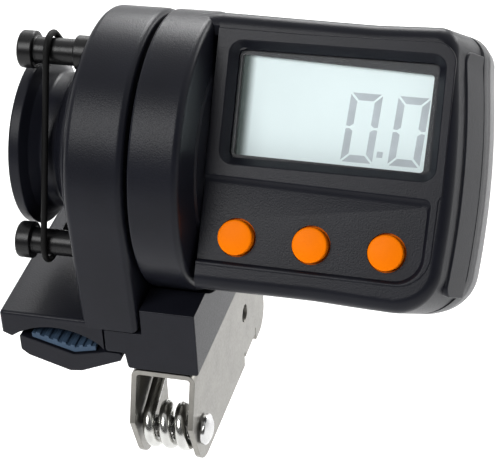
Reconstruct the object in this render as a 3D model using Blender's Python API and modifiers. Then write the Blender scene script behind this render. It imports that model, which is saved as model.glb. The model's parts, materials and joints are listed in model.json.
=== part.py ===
"""Clip-on fishing line counter, built as separate pieces at real size.

Metres, +Z up. The origin is the rod seat: the middle of the flat underside of
the upper rubber pad, which lies on the fishing rod. +X runs along the wheel's
axle towards the display, the rod runs along Y, and the user looks from -Y.
Sizes below are given in the axle frame, whose origin is the point where the
wheel's axle meets the groove between the bracket and the display's drum.
"""

import math

import bmesh
import bpy
from mathutils import Matrix, Vector

# General clearances and counts
GAP = 0.0003
CLOSE_GAP = 0.00025
OVERRUN = 0.0012
WELD = 0.000001
BIG = 0.2
ROUND_SIDES = 24
SMALL_SIDES = 14
SCREW_SIDES = 10
CORNER_STEPS = 4

# Bracket: ring housing, column and rod saddle in one moulding
RING_RADIUS = 0.0281
RING_FOOT_HALF_WIDTH = 0.0261
RING_LEFT = -0.0117
RING_RIGHT = 0.00035
RING_EDGE = 0.0010
DRUM_EDGE = 0.0006
WEB_LEFT = -0.0092
WEB_RIGHT = -0.0067
WHEEL_POCKET_RADIUS = 0.0203
SENSOR_POCKET_RADIUS = 0.0234
COLLAR_RADIUS = 0.0230
COLLAR_REACH = 0.0022
SPIGOT_RADIUS = 0.0070
SPIGOT_BORE = 0.0035
SPIGOT_END = 0.0059
CLIP_GROOVE_DEPTH = 0.0009
COLUMN_BOTTOM = -0.0281
WING_LEFT = -0.0290
WING_TOP = -0.0266
WING_EDGE_BOTTOM = -0.0320
WING_LENGTH = 0.0520
WING_EDGE = 0.0007
ARCH_CENTRE_X = -0.0177
ARCH_TOP = -0.0292
ARCH_RADIUS = 0.0158
ARCH_LEFT = -0.0277
ARCH_RIGHT = -0.0083
SADDLE_RIGHT = -0.0075
SADDLE_BOTTOM = -0.0333
ARCH_STEPS = 12

# Upper rubber pad, whose underside is the rod seat
SEAT_CENTRE_X = -0.0174
SEAT_Z = -0.0297
UPPER_PAD_WIDTH = 0.0070
UPPER_PAD_LENGTH = 0.0480
UPPER_PAD_THICKNESS = 0.0015

# Clamp block under the column and the display's drum
BLOCK_LEFT = -0.0072
BLOCK_RIGHT = 0.0122
BLOCK_STEP_X = 0.0008
BLOCK_TOP = -0.0225
BLOCK_BOTTOM = -0.0373
BLOCK_FOOT_LEFT = -0.0027
BLOCK_LIP_RIGHT = -0.0032
BLOCK_EDGE = 0.0006
DRUM_RUNNING_GAP = 0.0003
BLOCK_SCREW_X = -0.0049
BLOCK_SCREW_Y = 0.0185

# Screws
SCREW_SHAFT = 0.0010
SCREW_HEAD = 0.0018
SCREW_HEAD_HEIGHT = 0.0012
SCREW_DRIVE_RADIUS = 0.0008
SCREW_DRIVE_DEPTH = 0.0006
BLOCK_SCREW_LENGTH = 0.0095
BLOCK_SCREW_SINK = 0.0002
CHANNEL_SCREW_LENGTH = 0.0070
JAW_SCREW_LENGTH = 0.0030
CASE_SCREW_LENGTH = 0.0160

# Clamp channel: folded steel sheet under the block
SHEET = 0.0012
CHANNEL_LEFT = -0.00275
CHANNEL_RIGHT = 0.01105
BEND_RADIUS = 0.0018
CHANNEL_FRONT = -0.0259
NOSE_Y = -0.0291
NOSE_FALL = 0.0104
NOSE_Z = BLOCK_BOTTOM - GAP - NOSE_FALL
CHIN_RADIUS = 0.0065
CHIN_CENTRE_Y = -0.0202
CHIN_START = 200.0
PIN_FALL = 0.0155
SPRING_PIN_Z = BLOCK_BOTTOM - GAP - PIN_FALL
PLATE_DROP = 0.0091
PLATE_BOTTOM = SPRING_PIN_Z - PLATE_DROP
PLATE_REAR = 0.0288
HEEL_RADIUS = 0.0052
PIVOT_Y = 0.0125
PIVOT_FALL = 0.0112
PIVOT_Z = BLOCK_BOTTOM - GAP - PIVOT_FALL
SPRING_PIN_Y = -0.0232
WINDOW_FRONT = -0.0080
WINDOW_REAR = 0.0030
TAB_FRONT = 0.0112
TAB_REAR = 0.0202
TAB_RISE = 0.0021
TAB_REACH = 0.0044
SLIT = 0.0006
SLIT_RISE = 0.0014
CHANNEL_SCREW_X = 0.00415
CHANNEL_SCREW_YS = (-0.0140, 0.0165)

# Pins and torsion spring
SPRING_PIN_RADIUS = 0.0017
SPRING_PIN_HEAD_RADIUS = 0.0033
SPRING_PIN_HEAD = 0.0012
SPRING_PIN_DOME = 0.0006
RIVET_RADIUS = 0.0026
RIVET = 0.0007
PIVOT_PIN_RADIUS = 0.00175
PIVOT_PIN_SINK = 0.0008
WIRE_RADIUS = 0.00115
COIL_RADIUS = 0.00355
COIL_PITCH = 0.00345
COIL_START_X = -0.0001
COIL_END_TURN = 990.0
COIL_POINTS = 24
LEG_RISE = 22.3
LEG_FOOT = 0.0052
LEG_POINTS = 4
REACTION_LEG_END = 0.0150

# Jaw lever: steel plate that swings on the pivot pin
ARM_SHEET = 0.0016
ARM_SIDE_GAP = 0.00035
ARM_FRONT = -0.0052
TONGUE_REAR = 0.0024
TONGUE_LEFT = -0.0120
EAR_RADIUS = 0.0044
EAR_SHEET = 0.0014
EAR_FRONT = 0.0040
EAR_TURN_START = 40.0
EAR_TURN_END = -180.0
TAIL_START_Y = 0.0128
TAIL_START_Z = -0.0518
TAIL_END_Y = 0.0310
TAIL_END_Z = -0.0545
TAIL_TIP_DROP = 0.0026
TAIL_TIP_REACH = 0.0016
TAIL_SHEET = 0.0014

# Lower jaw and its ribbed rubber pad
JAW_LEFT = -0.0258
JAW_REAR = 0.0080
JAW_TIP_TOP = -0.0321
JAW_TIP_BOTTOM = -0.0357
JAW_CHIN_X = -0.0242
JAW_CHIN_Z = -0.0367
JAW_KEEL_LEFT_X = -0.0155
JAW_KEEL_LEFT_Z = -0.03925
JAW_KEEL_RIGHT_X = -0.0129
JAW_KEEL_RIGHT_Z = -0.0390
JAW_RIGHT = -0.0039
JAW_RIGHT_BOTTOM = -0.0356
JAW_RIGHT_TOP = -0.03395
JAW_SHELF_X = -0.0074
JAW_VALLEY_X = -0.0142
JAW_VALLEY_Z = -0.0355
JAW_LIP_X = -0.0250
JAW_LIP_Z = -0.0323
JAW_BOSS_LEFT = -0.0118
JAW_BOSS_RIGHT = -0.0044
JAW_BOSS_TOP = -0.0362
JAW_BOSS_SIDE = 0.0006
JAW_SCREW_XS = (-0.0099, -0.0063)
JAW_EDGE = 0.0005
LOWER_PAD_LEFT = -0.0232
LOWER_PAD_RIGHT = -0.0095
LOWER_PAD_THICKNESS = 0.0011
LOWER_PAD_FRONT = -0.0255
LOWER_PAD_REAR = 0.0046
RIB_HEIGHT = 0.0005
RIB_COUNT = 7

# Guide posts and the rubber line band
POST_TOP_Y = -0.0045
POST_TOP_Z = 0.0225
POST_BOTTOM_Y = -0.0175
POST_BOTTOM_Z = -0.0140
POST_RADIUS = 0.00265
POST_HEAD_RADIUS = 0.00375
POST_HEAD_EDGE = 0.0005
POST_TIP = -0.0260
POST_NECK = -0.0229
POST_BOSS_RADIUS = 0.0035
POST_BOSS_END = -0.0148
POST_TENON_RADIUS = 0.0014
POST_TENON = 0.0037
POST_SIDES = 18
BAND_X = -0.01965
BAND_CORD_RADIUS = 0.00065
BAND_STEPS = 40

# Counting wheel
WHEEL_FLANGE_RADIUS = 0.0175
WHEEL_OUTER = -0.0266
WHEEL_RIM = 0.0015
WHEEL_RIGHT_FLANGE_RADIUS = 0.0190
WHEEL_RIGHT = -0.0126
WHEEL_RIGHT_FLANGE = 0.0017
GROOVE_RADIUS = 0.0139
GROOVE_LEFT = -0.0212
GROOVE_RIGHT = -0.0181
WHEEL_BELL_RADIUS = 0.0112
WHEEL_BELL_DEPTH = -0.0165
WHEEL_HUB_RADIUS = 0.0062
WHEEL_HUB_LEFT = -0.0241
WHEEL_HUB_RIGHT = -0.0103
WHEEL_HUB_NOSE_RADIUS = 0.0055
WHEEL_BORE = 0.0033
WHEEL_SIDES = 40
CAP_RADIUS = 0.0119
CAP_THICKNESS = 0.0012
CAP_SEAT = -0.0253
AXLE_RADIUS = 0.0015
AXLE_LEFT = -0.0251
CLIP_THICKNESS = 0.0005
CLIP_RADIUS = 0.0028
BUSH_RADIUS = 0.0030
BUSH_BORE = 0.00178
BUSH_LENGTH = 0.0032
THRUST_RADIUS = 0.0040
THRUST_THICKNESS = 0.0005
MAGNET_CIRCLE = 0.0148
MAGNET_RADIUS = 0.0018
MAGNET_LENGTH = 0.0026

# Swivel between bracket and display
DRUM_RADIUS = 0.0280
DRUM_LEFT = 0.00125
DRUM_RIGHT = 0.0123
DRUM_WALL = 0.0020
DRUM_SHOULDER_X = 0.0088
DRUM_SHOULDER_RADIUS = 0.0245
DRUM_SIDES = 44
FRICTION_INNER = 0.0226
FRICTION_OUTER = 0.0250
FRICTION_THICKNESS = 0.0003
SWIVEL_WASHER_RADIUS = 0.0110
SWIVEL_WASHER = 0.0006
SWIVEL_CLIP_RADIUS = 0.0088
SWIVEL_CLIP = 0.0006
SENSOR_BOARD = 0.0010
SENSOR_BOARD_RADIUS = 0.0210
SENSOR_BOARD_BORE = 0.0080
SENSOR_WIDTH = 0.0030
SENSOR_HEIGHT = 0.0012
SENSOR_SPREAD = 32.0

# Display head: its own frame is tilted back, front face towards -Y
TILT = 33.7
CASE_LEFT = 0.0125
CASE_RIGHT = 0.0650
CASE_HALF_HEIGHT = 0.0273
CASE_FRONT = -0.0133
CASE_BACK = 0.0135
CASE_WALL = 0.0018
CASE_CORNER = 0.0080
CASE_EDGE = 0.0026
CASE_REAR_EDGE = 0.0024
SIDE_SET_BACK = 0.0050
SIDE_FULL_Y = 0.0014
PARTING_FRONT = -0.0016
PARTING_REAR = -0.0013
NECK_SET_BACK = 0.0058
NECK_INSET = 0.0002
NECK_HALF_SHARE = 0.98
WIRE_WAY_HALF_HEIGHT = 0.0090
WIRE_WAY_HALF_DEPTH = 0.0080
LENS_LEFT_MARGIN = 0.0041
LENS_LEFT = CASE_LEFT + LENS_LEFT_MARGIN
LENS_RIGHT_MARGIN = 0.0092
LENS_RIGHT = CASE_RIGHT - LENS_RIGHT_MARGIN
LENS_BOTTOM_SHARE = 0.0586
LENS_BOTTOM = -CASE_HALF_HEIGHT * LENS_BOTTOM_SHARE
LENS_SETBACK = 0.0020
LENS_THICKNESS = 0.0008
LEDGE_WIDTH = 0.0012
LEDGE_THICKNESS = 0.0008
RECESS_FLARE = 0.0013
BEZEL_WALL = 0.0012
LCD_THICKNESS = 0.0017
LCD_BORDER = 0.0005
PANEL_RIGHT_MARGIN = 0.0086
PANEL_TOP_SHARE = 0.2527
PANEL_BOTTOM_SHARE = 0.7985
PANEL_RIGHT = CASE_RIGHT - PANEL_RIGHT_MARGIN
PANEL_TOP = -CASE_HALF_HEIGHT * PANEL_TOP_SHARE
PANEL_BOTTOM = -CASE_HALF_HEIGHT * PANEL_BOTTOM_SHARE
PANEL_CORNER = 0.0040
PANEL_LEFT = (DRUM_RIGHT + CASE_LEFT) / 2
PANEL_DEPTH = 0.0008
BUTTON_MARGIN = 0.0075
BUTTON_PITCH_SHARE = 0.28
BUTTON_PITCH = (CASE_RIGHT - CASE_LEFT) * BUTTON_PITCH_SHARE
BUTTON_XS = tuple(CASE_LEFT + BUTTON_MARGIN + BUTTON_PITCH * index for index in range(3))
BUTTON_NAMES = ("left", "middle", "right")
BUTTON_W_SHARE = 0.6110
BUTTON_W = -CASE_HALF_HEIGHT * BUTTON_W_SHARE
BUTTON_RADIUS = 0.0036
BUTTON_HOLE = 0.0041
BUTTON_PROUD = 0.0010
BUTTON_DOME = 0.0003
BUTTON_FLANGE_RADIUS = 0.0050
BUTTON_FLANGE = 0.0008
BUTTON_STEM_RADIUS = 0.0020
BUTTON_TRAVEL = 0.0008
BOARD_FRONT = -0.0034
BOARD_THICKNESS = 0.0012
BOARD_MARGIN = 0.0026
BOARD_RIGHT_MARGIN = 0.0051
BOARD_POST_GAP = 0.0009
KEYPAD_SHEET = 0.0010
KEYPAD_MARGIN = 0.0038
DOME_RADIUS = 0.0026
CELL_RADIUS = 0.0100
CELL_HEIGHT = 0.0032
CELL_X = (CASE_LEFT + CASE_RIGHT) / 2
CELL_W = 0.0
CUP_RADIUS = 0.0114
CUP_WALL = 0.0012
CUP_FLOOR = 0.0010
CONTACT = 0.0004
CONTACT_WIDTH = 0.0040
DOOR_RADIUS = 0.0118
DOOR_THICKNESS = 0.0016
DOOR_SLOT_LENGTH = 0.0120
DOOR_SLOT_WIDTH = 0.0016
DOOR_SLOT_DEPTH = 0.0008
CASE_SCREW_INSET_X = 0.0042
CASE_SCREW_RIGHT_INSET = 0.0085
CASE_SCREW_INSET_W = 0.0054
CASE_SCREW_W = CASE_HALF_HEIGHT - CASE_SCREW_INSET_W
FRONT_POST_RADIUS = 0.0022
LENS_TOP = CASE_SCREW_W - FRONT_POST_RADIUS - GAP
REAR_POST_RADIUS = 0.0027
KEYPAD_HALF_HEIGHT = CASE_SCREW_W - FRONT_POST_RADIUS + BUTTON_W - GAP
BOARD_HALF_HEIGHT = CASE_SCREW_W - REAR_POST_RADIUS - BOARD_POST_GAP
FRONT_POST_SINK_SHARE = 0.9
POST_SET_BACK = 0.0001
CASE_HEAD_SINK = 0.0040

PARTS_NAME = "fishing_line_counter"
CUTTERS_NAME = "cutters"


def clear_scene():
    """Remove every object and leftover data block."""
    for item in list(bpy.data.objects):
        bpy.data.objects.remove(item, do_unlink=True)
    for block in list(bpy.data.meshes):
        bpy.data.meshes.remove(block)
    for block in list(bpy.data.curves):
        bpy.data.curves.remove(block)


def make_collection(name):
    """Return a fresh collection linked to the scene."""
    found = bpy.data.collections.get(name)
    if found:
        bpy.data.collections.remove(found)
    made = bpy.data.collections.new(name)
    bpy.context.scene.collection.children.link(made)
    return made


def make_material(name, colour, roughness, metallic):
    """Return a Principled material."""
    material = bpy.data.materials.new(name)
    material.use_nodes = True
    shader = material.node_tree.nodes["Principled BSDF"]
    shader.inputs["Base Color"].default_value = (*colour, 1.0)
    shader.inputs["Roughness"].default_value = roughness
    shader.inputs["Metallic"].default_value = metallic
    material.diffuse_color = (*colour, 1.0)
    return material


def make_frame(name, location, tilt_degrees, parent):
    """Return an empty that carries pieces at a joint axis."""
    frame = bpy.data.objects.new(name, None)
    frame.location = location
    frame.rotation_euler = (math.radians(tilt_degrees), 0, 0)
    frame.parent = parent
    PARTS.objects.link(frame)
    return frame


def add_object(name, mesh, frame, finish):
    """Link a mesh as a piece with its own material, or as a cutter without one."""
    item = bpy.data.objects.new(name, mesh)
    item.parent = frame
    if finish is None:
        CUTTERS.objects.link(item)
        item.hide_render = True
        item.display_type = "WIRE"
        return item
    PARTS.objects.link(item)
    mesh.materials.append(make_material(name, *finish))
    return item


def smooth(item, degrees):
    """Shade a round piece smooth, with sharp edges past an angle."""
    item.data.shade_smooth()
    item.data.set_sharp_from_angle(angle=math.radians(degrees))


def box(name, low, high, frame, finish=None):
    """Return a box between two corners of its frame."""
    mesh = bpy.data.meshes.new(name)
    work = bmesh.new()
    bmesh.ops.create_cube(work, size=1.0)
    size = Vector(high) - Vector(low)
    centre = (Vector(high) + Vector(low)) / 2
    bmesh.ops.scale(work, vec=size, verts=work.verts)
    bmesh.ops.translate(work, vec=centre, verts=work.verts)
    work.to_mesh(mesh)
    work.free()
    return add_object(name, mesh, frame, finish)


TURN_TO_AXIS = {
    "X": Matrix(((0, 0, 1), (1, 0, 0), (0, 1, 0))),
    "Y": Matrix(((1, 0, 0), (0, 0, 1), (0, 1, 0))),
    "Z": Matrix(((1, 0, 0), (0, 1, 0), (0, 0, 1))),
}


def prism(name, outline, low, high, axis, frame, finish=None):
    """Return a flat outline given thickness along an axis.

    The outline's two numbers are (y, z) for axis X, (x, z) for Y and (x, y) for Z.
    """
    curve = bpy.data.curves.new(name + "_outline", "CURVE")
    curve.dimensions = "2D"
    curve.fill_mode = "BOTH"
    curve.extrude = (high - low) / 2
    spline = curve.splines.new("POLY")
    spline.points.add(len(outline) - 1)
    for point, (first, second) in zip(spline.points, outline):
        point.co = (first, second, 0, 1)
    spline.use_cyclic_u = True
    guide = bpy.data.objects.new(name + "_outline", curve)
    bpy.context.scene.collection.objects.link(guide)
    graph = bpy.context.evaluated_depsgraph_get()
    mesh = bpy.data.meshes.new_from_object(guide.evaluated_get(graph))
    bpy.data.objects.remove(guide, do_unlink=True)
    mesh.name = name
    mesh.materials.clear()
    work = bmesh.new()
    work.from_mesh(mesh)
    bmesh.ops.remove_doubles(work, verts=work.verts, dist=WELD)
    bmesh.ops.translate(work, vec=(0, 0, (low + high) / 2), verts=work.verts)
    bmesh.ops.transform(work, matrix=TURN_TO_AXIS[axis].to_4x4(), verts=work.verts)
    bmesh.ops.dissolve_limit(work, angle_limit=math.radians(1), verts=work.verts, edges=work.edges)
    bmesh.ops.recalc_face_normals(work, faces=work.faces)
    work.to_mesh(mesh)
    work.free()
    return add_object(name, mesh, frame, finish)


TURN_ROTATION = {
    "X": (0, math.radians(90), 0),
    "Y": (math.radians(-90), 0, 0),
    "Z": (0, 0, 0),
}


def turned(name, profile, axis, frame, finish=None, location=(0, 0, 0), closed=False, sides=ROUND_SIDES):
    """Return a profile of (radius, place along the axis) points spun by a Screw modifier.

    The profile runs down its outer side, from the far end of the axis to the near end.
    """
    mesh = bpy.data.meshes.new(name)
    work = bmesh.new()
    verts = [work.verts.new((radius, 0, along)) for radius, along in profile]
    for first, second in zip(verts, verts[1:]):
        work.edges.new((first, second))
    if closed:
        work.edges.new((verts[-1], verts[0]))
    work.to_mesh(mesh)
    work.free()
    item = add_object(name, mesh, frame, finish)
    item.location = location
    item.rotation_euler = TURN_ROTATION[axis]
    screw = item.modifiers.new("spin", "SCREW")
    screw.axis = "Z"
    screw.steps = sides
    screw.render_steps = sides
    screw.use_merge_vertices = True
    screw.merge_threshold = WELD
    screw.use_smooth_shade = True
    return item


def cylinder(name, radius, low, high, axis, frame, finish=None, location=(0, 0, 0), sides=ROUND_SIDES):
    """Return a plain cylinder from low to high along an axis."""
    profile = ((0, high), (radius, high), (radius, low), (0, low))
    return turned(name, profile, axis, frame, finish, location, sides=sides)


def tube(name, inner, outer, low, high, axis, frame, finish=None, location=(0, 0, 0), sides=ROUND_SIDES):
    """Return a plain ring from low to high along an axis."""
    profile = ((outer, high), (outer, low), (inner, low), (inner, high))
    return turned(name, profile, axis, frame, finish, location, closed=True, sides=sides)


def counterbore(name, shaft_end, shoulder, head_end, axis, frame, location, head=SCREW_HEAD):
    """Return a stepped cutter: a screw's way from shaft_end to the shoulder, and its head's sink beyond."""
    way = SCREW_SHAFT + GAP
    sink = head + GAP
    profile = [(0, head_end), (sink, head_end), (sink, shoulder), (way, shoulder), (way, shaft_end), (0, shaft_end)]
    if head_end < shaft_end:
        profile.reverse()
    return turned(name, profile, axis, frame, location=location, sides=SCREW_SIDES)


def combine(item, tools, operation):
    """Add one exact Boolean modifier per tool."""
    for tool in tools:
        change = item.modifiers.new(tool.name, "BOOLEAN")
        change.operation = operation
        change.solver = "EXACT"
        change.object = tool
    return item


def cut(item, *tools):
    """Cut tools out of a piece."""
    return combine(item, tools, "DIFFERENCE")


def join(item, *tools):
    """Join tools to a piece."""
    return combine(item, tools, "UNION")


def soften(item, width, segments=2, degrees=40.0):
    """Round the sharp edges of a piece."""
    bevel = item.modifiers.new("edges", "BEVEL")
    bevel.width = width
    bevel.segments = segments
    bevel.limit_method = "ANGLE"
    bevel.angle_limit = math.radians(degrees)
    bevel.use_clamp_overlap = True
    return item


def arc(centre, radius, start, end, steps):
    """Return points on an arc, from start to end in degrees."""
    points = []
    for step in range(steps + 1):
        angle = math.radians(start + (end - start) * step / steps)
        points.append((centre[0] + radius * math.cos(angle), centre[1] + radius * math.sin(angle)))
    return points


def rounded_rectangle(left, right, bottom, top, radius, steps=CORNER_STEPS):
    """Return the outline of a rectangle with round corners."""
    points = arc((right - radius, top - radius), radius, 0, 90, steps)
    points += arc((left + radius, top - radius), radius, 90, 180, steps)
    points += arc((left + radius, bottom + radius), radius, 180, 270, steps)
    points += arc((right - radius, bottom + radius), radius, 270, 360, steps)
    return points


def screw(name, axis, sign, seat, place, length, frame, head=SCREW_HEAD, shaft=SCREW_SHAFT):
    """Return a pan-head screw whose head's underside lies at seat and whose shaft points along sign."""
    tip = seat + sign * length
    top = seat - sign * SCREW_HEAD_HEIGHT
    drive = top + sign * SCREW_DRIVE_DEPTH
    profile = [(0, drive), (SCREW_DRIVE_RADIUS, drive), (SCREW_DRIVE_RADIUS, top), (head * HEAD_EDGE_SHARE, top),
               (head, top + sign * SCREW_HEAD_HEIGHT / 2), (head, seat), (shaft, seat), (shaft, tip - sign * shaft),
               (0, tip)]
    if sign > 0:
        profile.reverse()
    return turned(name, profile, axis, frame, STEEL, place, sides=SCREW_SIDES)


HEAD_EDGE_SHARE = 0.72

# Finishes as (colour, roughness, metallic)
BLACK_PLASTIC = ((0.020, 0.021, 0.024), 0.42, 0.0)
SATIN_PLASTIC = ((0.014, 0.015, 0.017), 0.32, 0.0)
STEEL = ((0.62, 0.61, 0.58), 0.34, 1.0)
BRIGHT_STEEL = ((0.72, 0.72, 0.72), 0.16, 1.0)
BLUE_RUBBER = ((0.055, 0.105, 0.165), 0.62, 0.0)
BLACK_RUBBER = ((0.012, 0.012, 0.013), 0.70, 0.0)
ORANGE = ((1.0, 0.235, 0.008), 0.38, 0.0)
LCD_GREY = ((0.72, 0.80, 0.80), 0.30, 0.0)
CLEAR = ((0.80, 0.86, 0.86), 0.05, 0.0)
BOARD_GREEN = ((0.02, 0.13, 0.06), 0.45, 0.0)
BRONZE = ((0.58, 0.36, 0.16), 0.35, 1.0)
MAGNET_GREY = ((0.40, 0.41, 0.43), 0.28, 1.0)
WHITE_PLASTIC = ((0.62, 0.62, 0.60), 0.50, 0.0)

clear_scene()
PARTS = make_collection(PARTS_NAME)
CUTTERS = make_collection(CUTTERS_NAME)

BASE = make_frame("axle_frame", (-SEAT_CENTRE_X, 0, -SEAT_Z), 0, None)
WHEEL = make_frame("wheel_frame", (0, 0, 0), 0, BASE)
HEAD = make_frame("display_frame", (0, 0, 0), -TILT, BASE)
JAW = make_frame("jaw_frame", (0, PIVOT_Y, PIVOT_Z), 0, BASE)

HALF_LENGTH = WING_LENGTH / 2
RING_WIDTH = RING_RIGHT - RING_LEFT


def arch_outline():
    """Return the rod saddle's hollow underside, right to left, in the (x, z) plane."""
    centre = (ARCH_CENTRE_X, ARCH_TOP - ARCH_RADIUS)
    right = math.degrees(math.acos((ARCH_RIGHT - ARCH_CENTRE_X) / ARCH_RADIUS))
    left = math.degrees(math.acos((ARCH_LEFT - ARCH_CENTRE_X) / ARCH_RADIUS))
    return arc(centre, ARCH_RADIUS, right, left, ARCH_STEPS)


def post_places():
    """Return each guide post's name, place and root boss."""
    return (("guide_post_top", POST_TOP_Y, POST_TOP_Z, True), ("guide_post_bottom", POST_BOTTOM_Y, POST_BOTTOM_Z, False))


def post_shoulder():
    """Return the place of the posts' shoulders on the ring's face."""
    return RING_LEFT - GAP


def axle_end():
    """Return the place of the axle's end inside the bracket's spigot."""
    return WEB_RIGHT + OVERRUN


def build_bracket():
    """Ring housing with the wheel's pocket, the column and the rod saddle."""
    reach = math.hypot(RING_FOOT_HALF_WIDTH, COLUMN_BOTTOM)
    tangent = math.degrees(math.atan2(COLUMN_BOTTOM, RING_FOOT_HALF_WIDTH) + math.acos(RING_RADIUS / reach))
    flank = [(-RING_FOOT_HALF_WIDTH, COLUMN_BOTTOM), (RING_FOOT_HALF_WIDTH, COLUMN_BOTTOM)]
    outline = flank + arc((0, 0), RING_RADIUS, tangent, 180 - tangent, ROUND_SIDES)
    bracket = prism("bracket", outline, RING_LEFT, RING_RIGHT, "X", BASE, BLACK_PLASTIC)
    soften(bracket, RING_EDGE, 1)
    saddle_outline = [(WING_LEFT, WING_EDGE_BOTTOM), (WING_LEFT, WING_TOP), (SADDLE_RIGHT, WING_TOP),
                      (SADDLE_RIGHT, SADDLE_BOTTOM)] + arch_outline()
    saddle = prism("bracket_saddle", saddle_outline, -HALF_LENGTH, HALF_LENGTH, "Y", BASE)
    soften(saddle, WING_EDGE, 1)
    collar = cylinder("bracket_collar", COLLAR_RADIUS, RING_LEFT - COLLAR_REACH, WEB_LEFT, "X", BASE, sides=DRUM_SIDES)
    for name, y, z, boss in post_places():
        radius = (POST_BOSS_RADIUS if boss else POST_RADIUS) + GAP
        notch = cylinder(name + "_notch", radius, RING_LEFT - COLLAR_REACH - OVERRUN, RING_LEFT + OVERRUN, "X", BASE,
                         location=(0, y, z), sides=POST_SIDES)
        cut(collar, notch)
    join(bracket, saddle, collar)
    wheel_pocket = cylinder("wheel_pocket", WHEEL_POCKET_RADIUS, RING_LEFT - COLLAR_REACH - OVERRUN, WEB_LEFT, "X",
                            BASE, sides=DRUM_SIDES)
    sensor_pocket = cylinder("sensor_pocket", SENSOR_POCKET_RADIUS, WEB_RIGHT, RING_RIGHT + OVERRUN, "X", BASE,
                             sides=DRUM_SIDES)
    cut(bracket, wheel_pocket, sensor_pocket)
    groove_low = swivel_clip_low() - GAP
    groove_high = swivel_clip_low() + SWIVEL_CLIP + GAP
    groove_radius = SPIGOT_RADIUS - CLIP_GROOVE_DEPTH
    spigot_profile = ((0, SPIGOT_END), (SPIGOT_RADIUS, SPIGOT_END), (SPIGOT_RADIUS, groove_high),
                      (groove_radius, groove_high), (groove_radius, groove_low), (SPIGOT_RADIUS, groove_low),
                      (SPIGOT_RADIUS, WEB_LEFT + OVERRUN), (0, WEB_LEFT + OVERRUN))
    spigot = turned("bracket_spigot", spigot_profile, "X", BASE)
    join(bracket, spigot)
    axle_way = AXLE_RADIUS + GAP
    bore_profile = ((0, SPIGOT_END + OVERRUN), (SPIGOT_BORE, SPIGOT_END + OVERRUN), (SPIGOT_BORE, axle_end() + GAP),
                    (axle_way, axle_end() + GAP), (axle_way, WEB_LEFT - OVERRUN), (0, WEB_LEFT - OVERRUN))
    cut(bracket, turned("spigot_bore", bore_profile, "X", BASE, sides=SMALL_SIDES))
    for name, y, z, boss in post_places():
        hole = cylinder(name + "_hole", POST_TENON_RADIUS + GAP, RING_LEFT - OVERRUN, post_shoulder() + POST_TENON + GAP,
                        "X", BASE, location=(0, y, z), sides=POST_SIDES)
        cut(bracket, hole)
    pad_half = UPPER_PAD_WIDTH / 2 + GAP
    pad_slot = box("pad_slot", (SEAT_CENTRE_X - pad_half, -UPPER_PAD_LENGTH / 2 - GAP, SEAT_Z - OVERRUN),
                   (SEAT_CENTRE_X + pad_half, UPPER_PAD_LENGTH / 2 + GAP, SEAT_Z + UPPER_PAD_THICKNESS + GAP), BASE)
    cut(bracket, pad_slot)
    for side in (-1, 1):
        hole = cylinder("bracket_screw_hole", SCREW_SHAFT + GAP, COLUMN_BOTTOM - OVERRUN, block_screw_tip() + GAP, "Z",
                        BASE, location=(BLOCK_SCREW_X, side * BLOCK_SCREW_Y, 0), sides=SMALL_SIDES)
        cut(bracket, hole)
    smooth(bracket, 30)


def swivel_clip_low():
    """Return where the swivel's retaining clip begins along the axle."""
    return DRUM_LEFT + DRUM_WALL + GAP + SWIVEL_WASHER + GAP


def lug_bottom():
    """Return the height of the block's lip over the lower jaw."""
    return SADDLE_BOTTOM - GAP


def block_screw_seat():
    """Return the height at which the block screws' heads bear."""
    return lug_bottom() + BLOCK_SCREW_SINK + SCREW_HEAD_HEIGHT


def block_screw_tip():
    """Return the height of the block screws' tips."""
    return block_screw_seat() + BLOCK_SCREW_LENGTH


def build_block():
    """Clamp block that ties the steel channel to the bracket and cradles the drum."""
    step_top = COLUMN_BOTTOM - GAP
    outline = [(BLOCK_LEFT, step_top), (BLOCK_LEFT, lug_bottom()), (BLOCK_LIP_RIGHT, lug_bottom()),
               (BLOCK_FOOT_LEFT, BLOCK_BOTTOM), (BLOCK_RIGHT, BLOCK_BOTTOM), (BLOCK_RIGHT, BLOCK_TOP),
               (BLOCK_STEP_X, BLOCK_TOP), (BLOCK_STEP_X, step_top)]
    block = prism("clamp_block", outline, -HALF_LENGTH, HALF_LENGTH, "Y", BASE, BLACK_PLASTIC)
    soften(block, BLOCK_EDGE, 1)
    cradle = cylinder("drum_cradle", DRUM_RADIUS + DRUM_RUNNING_GAP, RING_RIGHT, BLOCK_RIGHT + OVERRUN, "X", BASE,
                      sides=DRUM_SIDES)
    cut(block, cradle)
    for index, side in enumerate((-1, 1)):
        place = (BLOCK_SCREW_X, side * BLOCK_SCREW_Y, 0)
        way = counterbore("block_screw_way", step_top + OVERRUN, block_screw_seat() + GAP, lug_bottom() - OVERRUN, "Z",
                          BASE, place)
        cut(block, way)
        screw("block_screw_%d" % (index + 1), "Z", 1, block_screw_seat(), place, BLOCK_SCREW_LENGTH, BASE)
    for index, y in enumerate(CHANNEL_SCREW_YS):
        place = (CHANNEL_SCREW_X, y, 0)
        seat = channel_top() - SHEET - GAP
        hole = cylinder("channel_screw_hole", SCREW_SHAFT + GAP, BLOCK_BOTTOM - OVERRUN,
                        seat + CHANNEL_SCREW_LENGTH + GAP, "Z", BASE, location=place, sides=SMALL_SIDES)
        cut(block, hole)
        screw("channel_screw_%d" % (index + 1), "Z", 1, seat, place, CHANNEL_SCREW_LENGTH, BASE)
    smooth(block, 30)


def build_upper_pad():
    """Flat rubber pad in the saddle, whose underside is the rod seat."""
    half = UPPER_PAD_WIDTH / 2
    low = (SEAT_CENTRE_X - half, -UPPER_PAD_LENGTH / 2, SEAT_Z)
    high = (SEAT_CENTRE_X + half, UPPER_PAD_LENGTH / 2, SEAT_Z + UPPER_PAD_THICKNESS)
    box("upper_pad", low, high, BASE, BLUE_RUBBER)


def channel_top():
    """Return the height of the channel's top face, just under the block."""
    return BLOCK_BOTTOM - GAP


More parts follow.
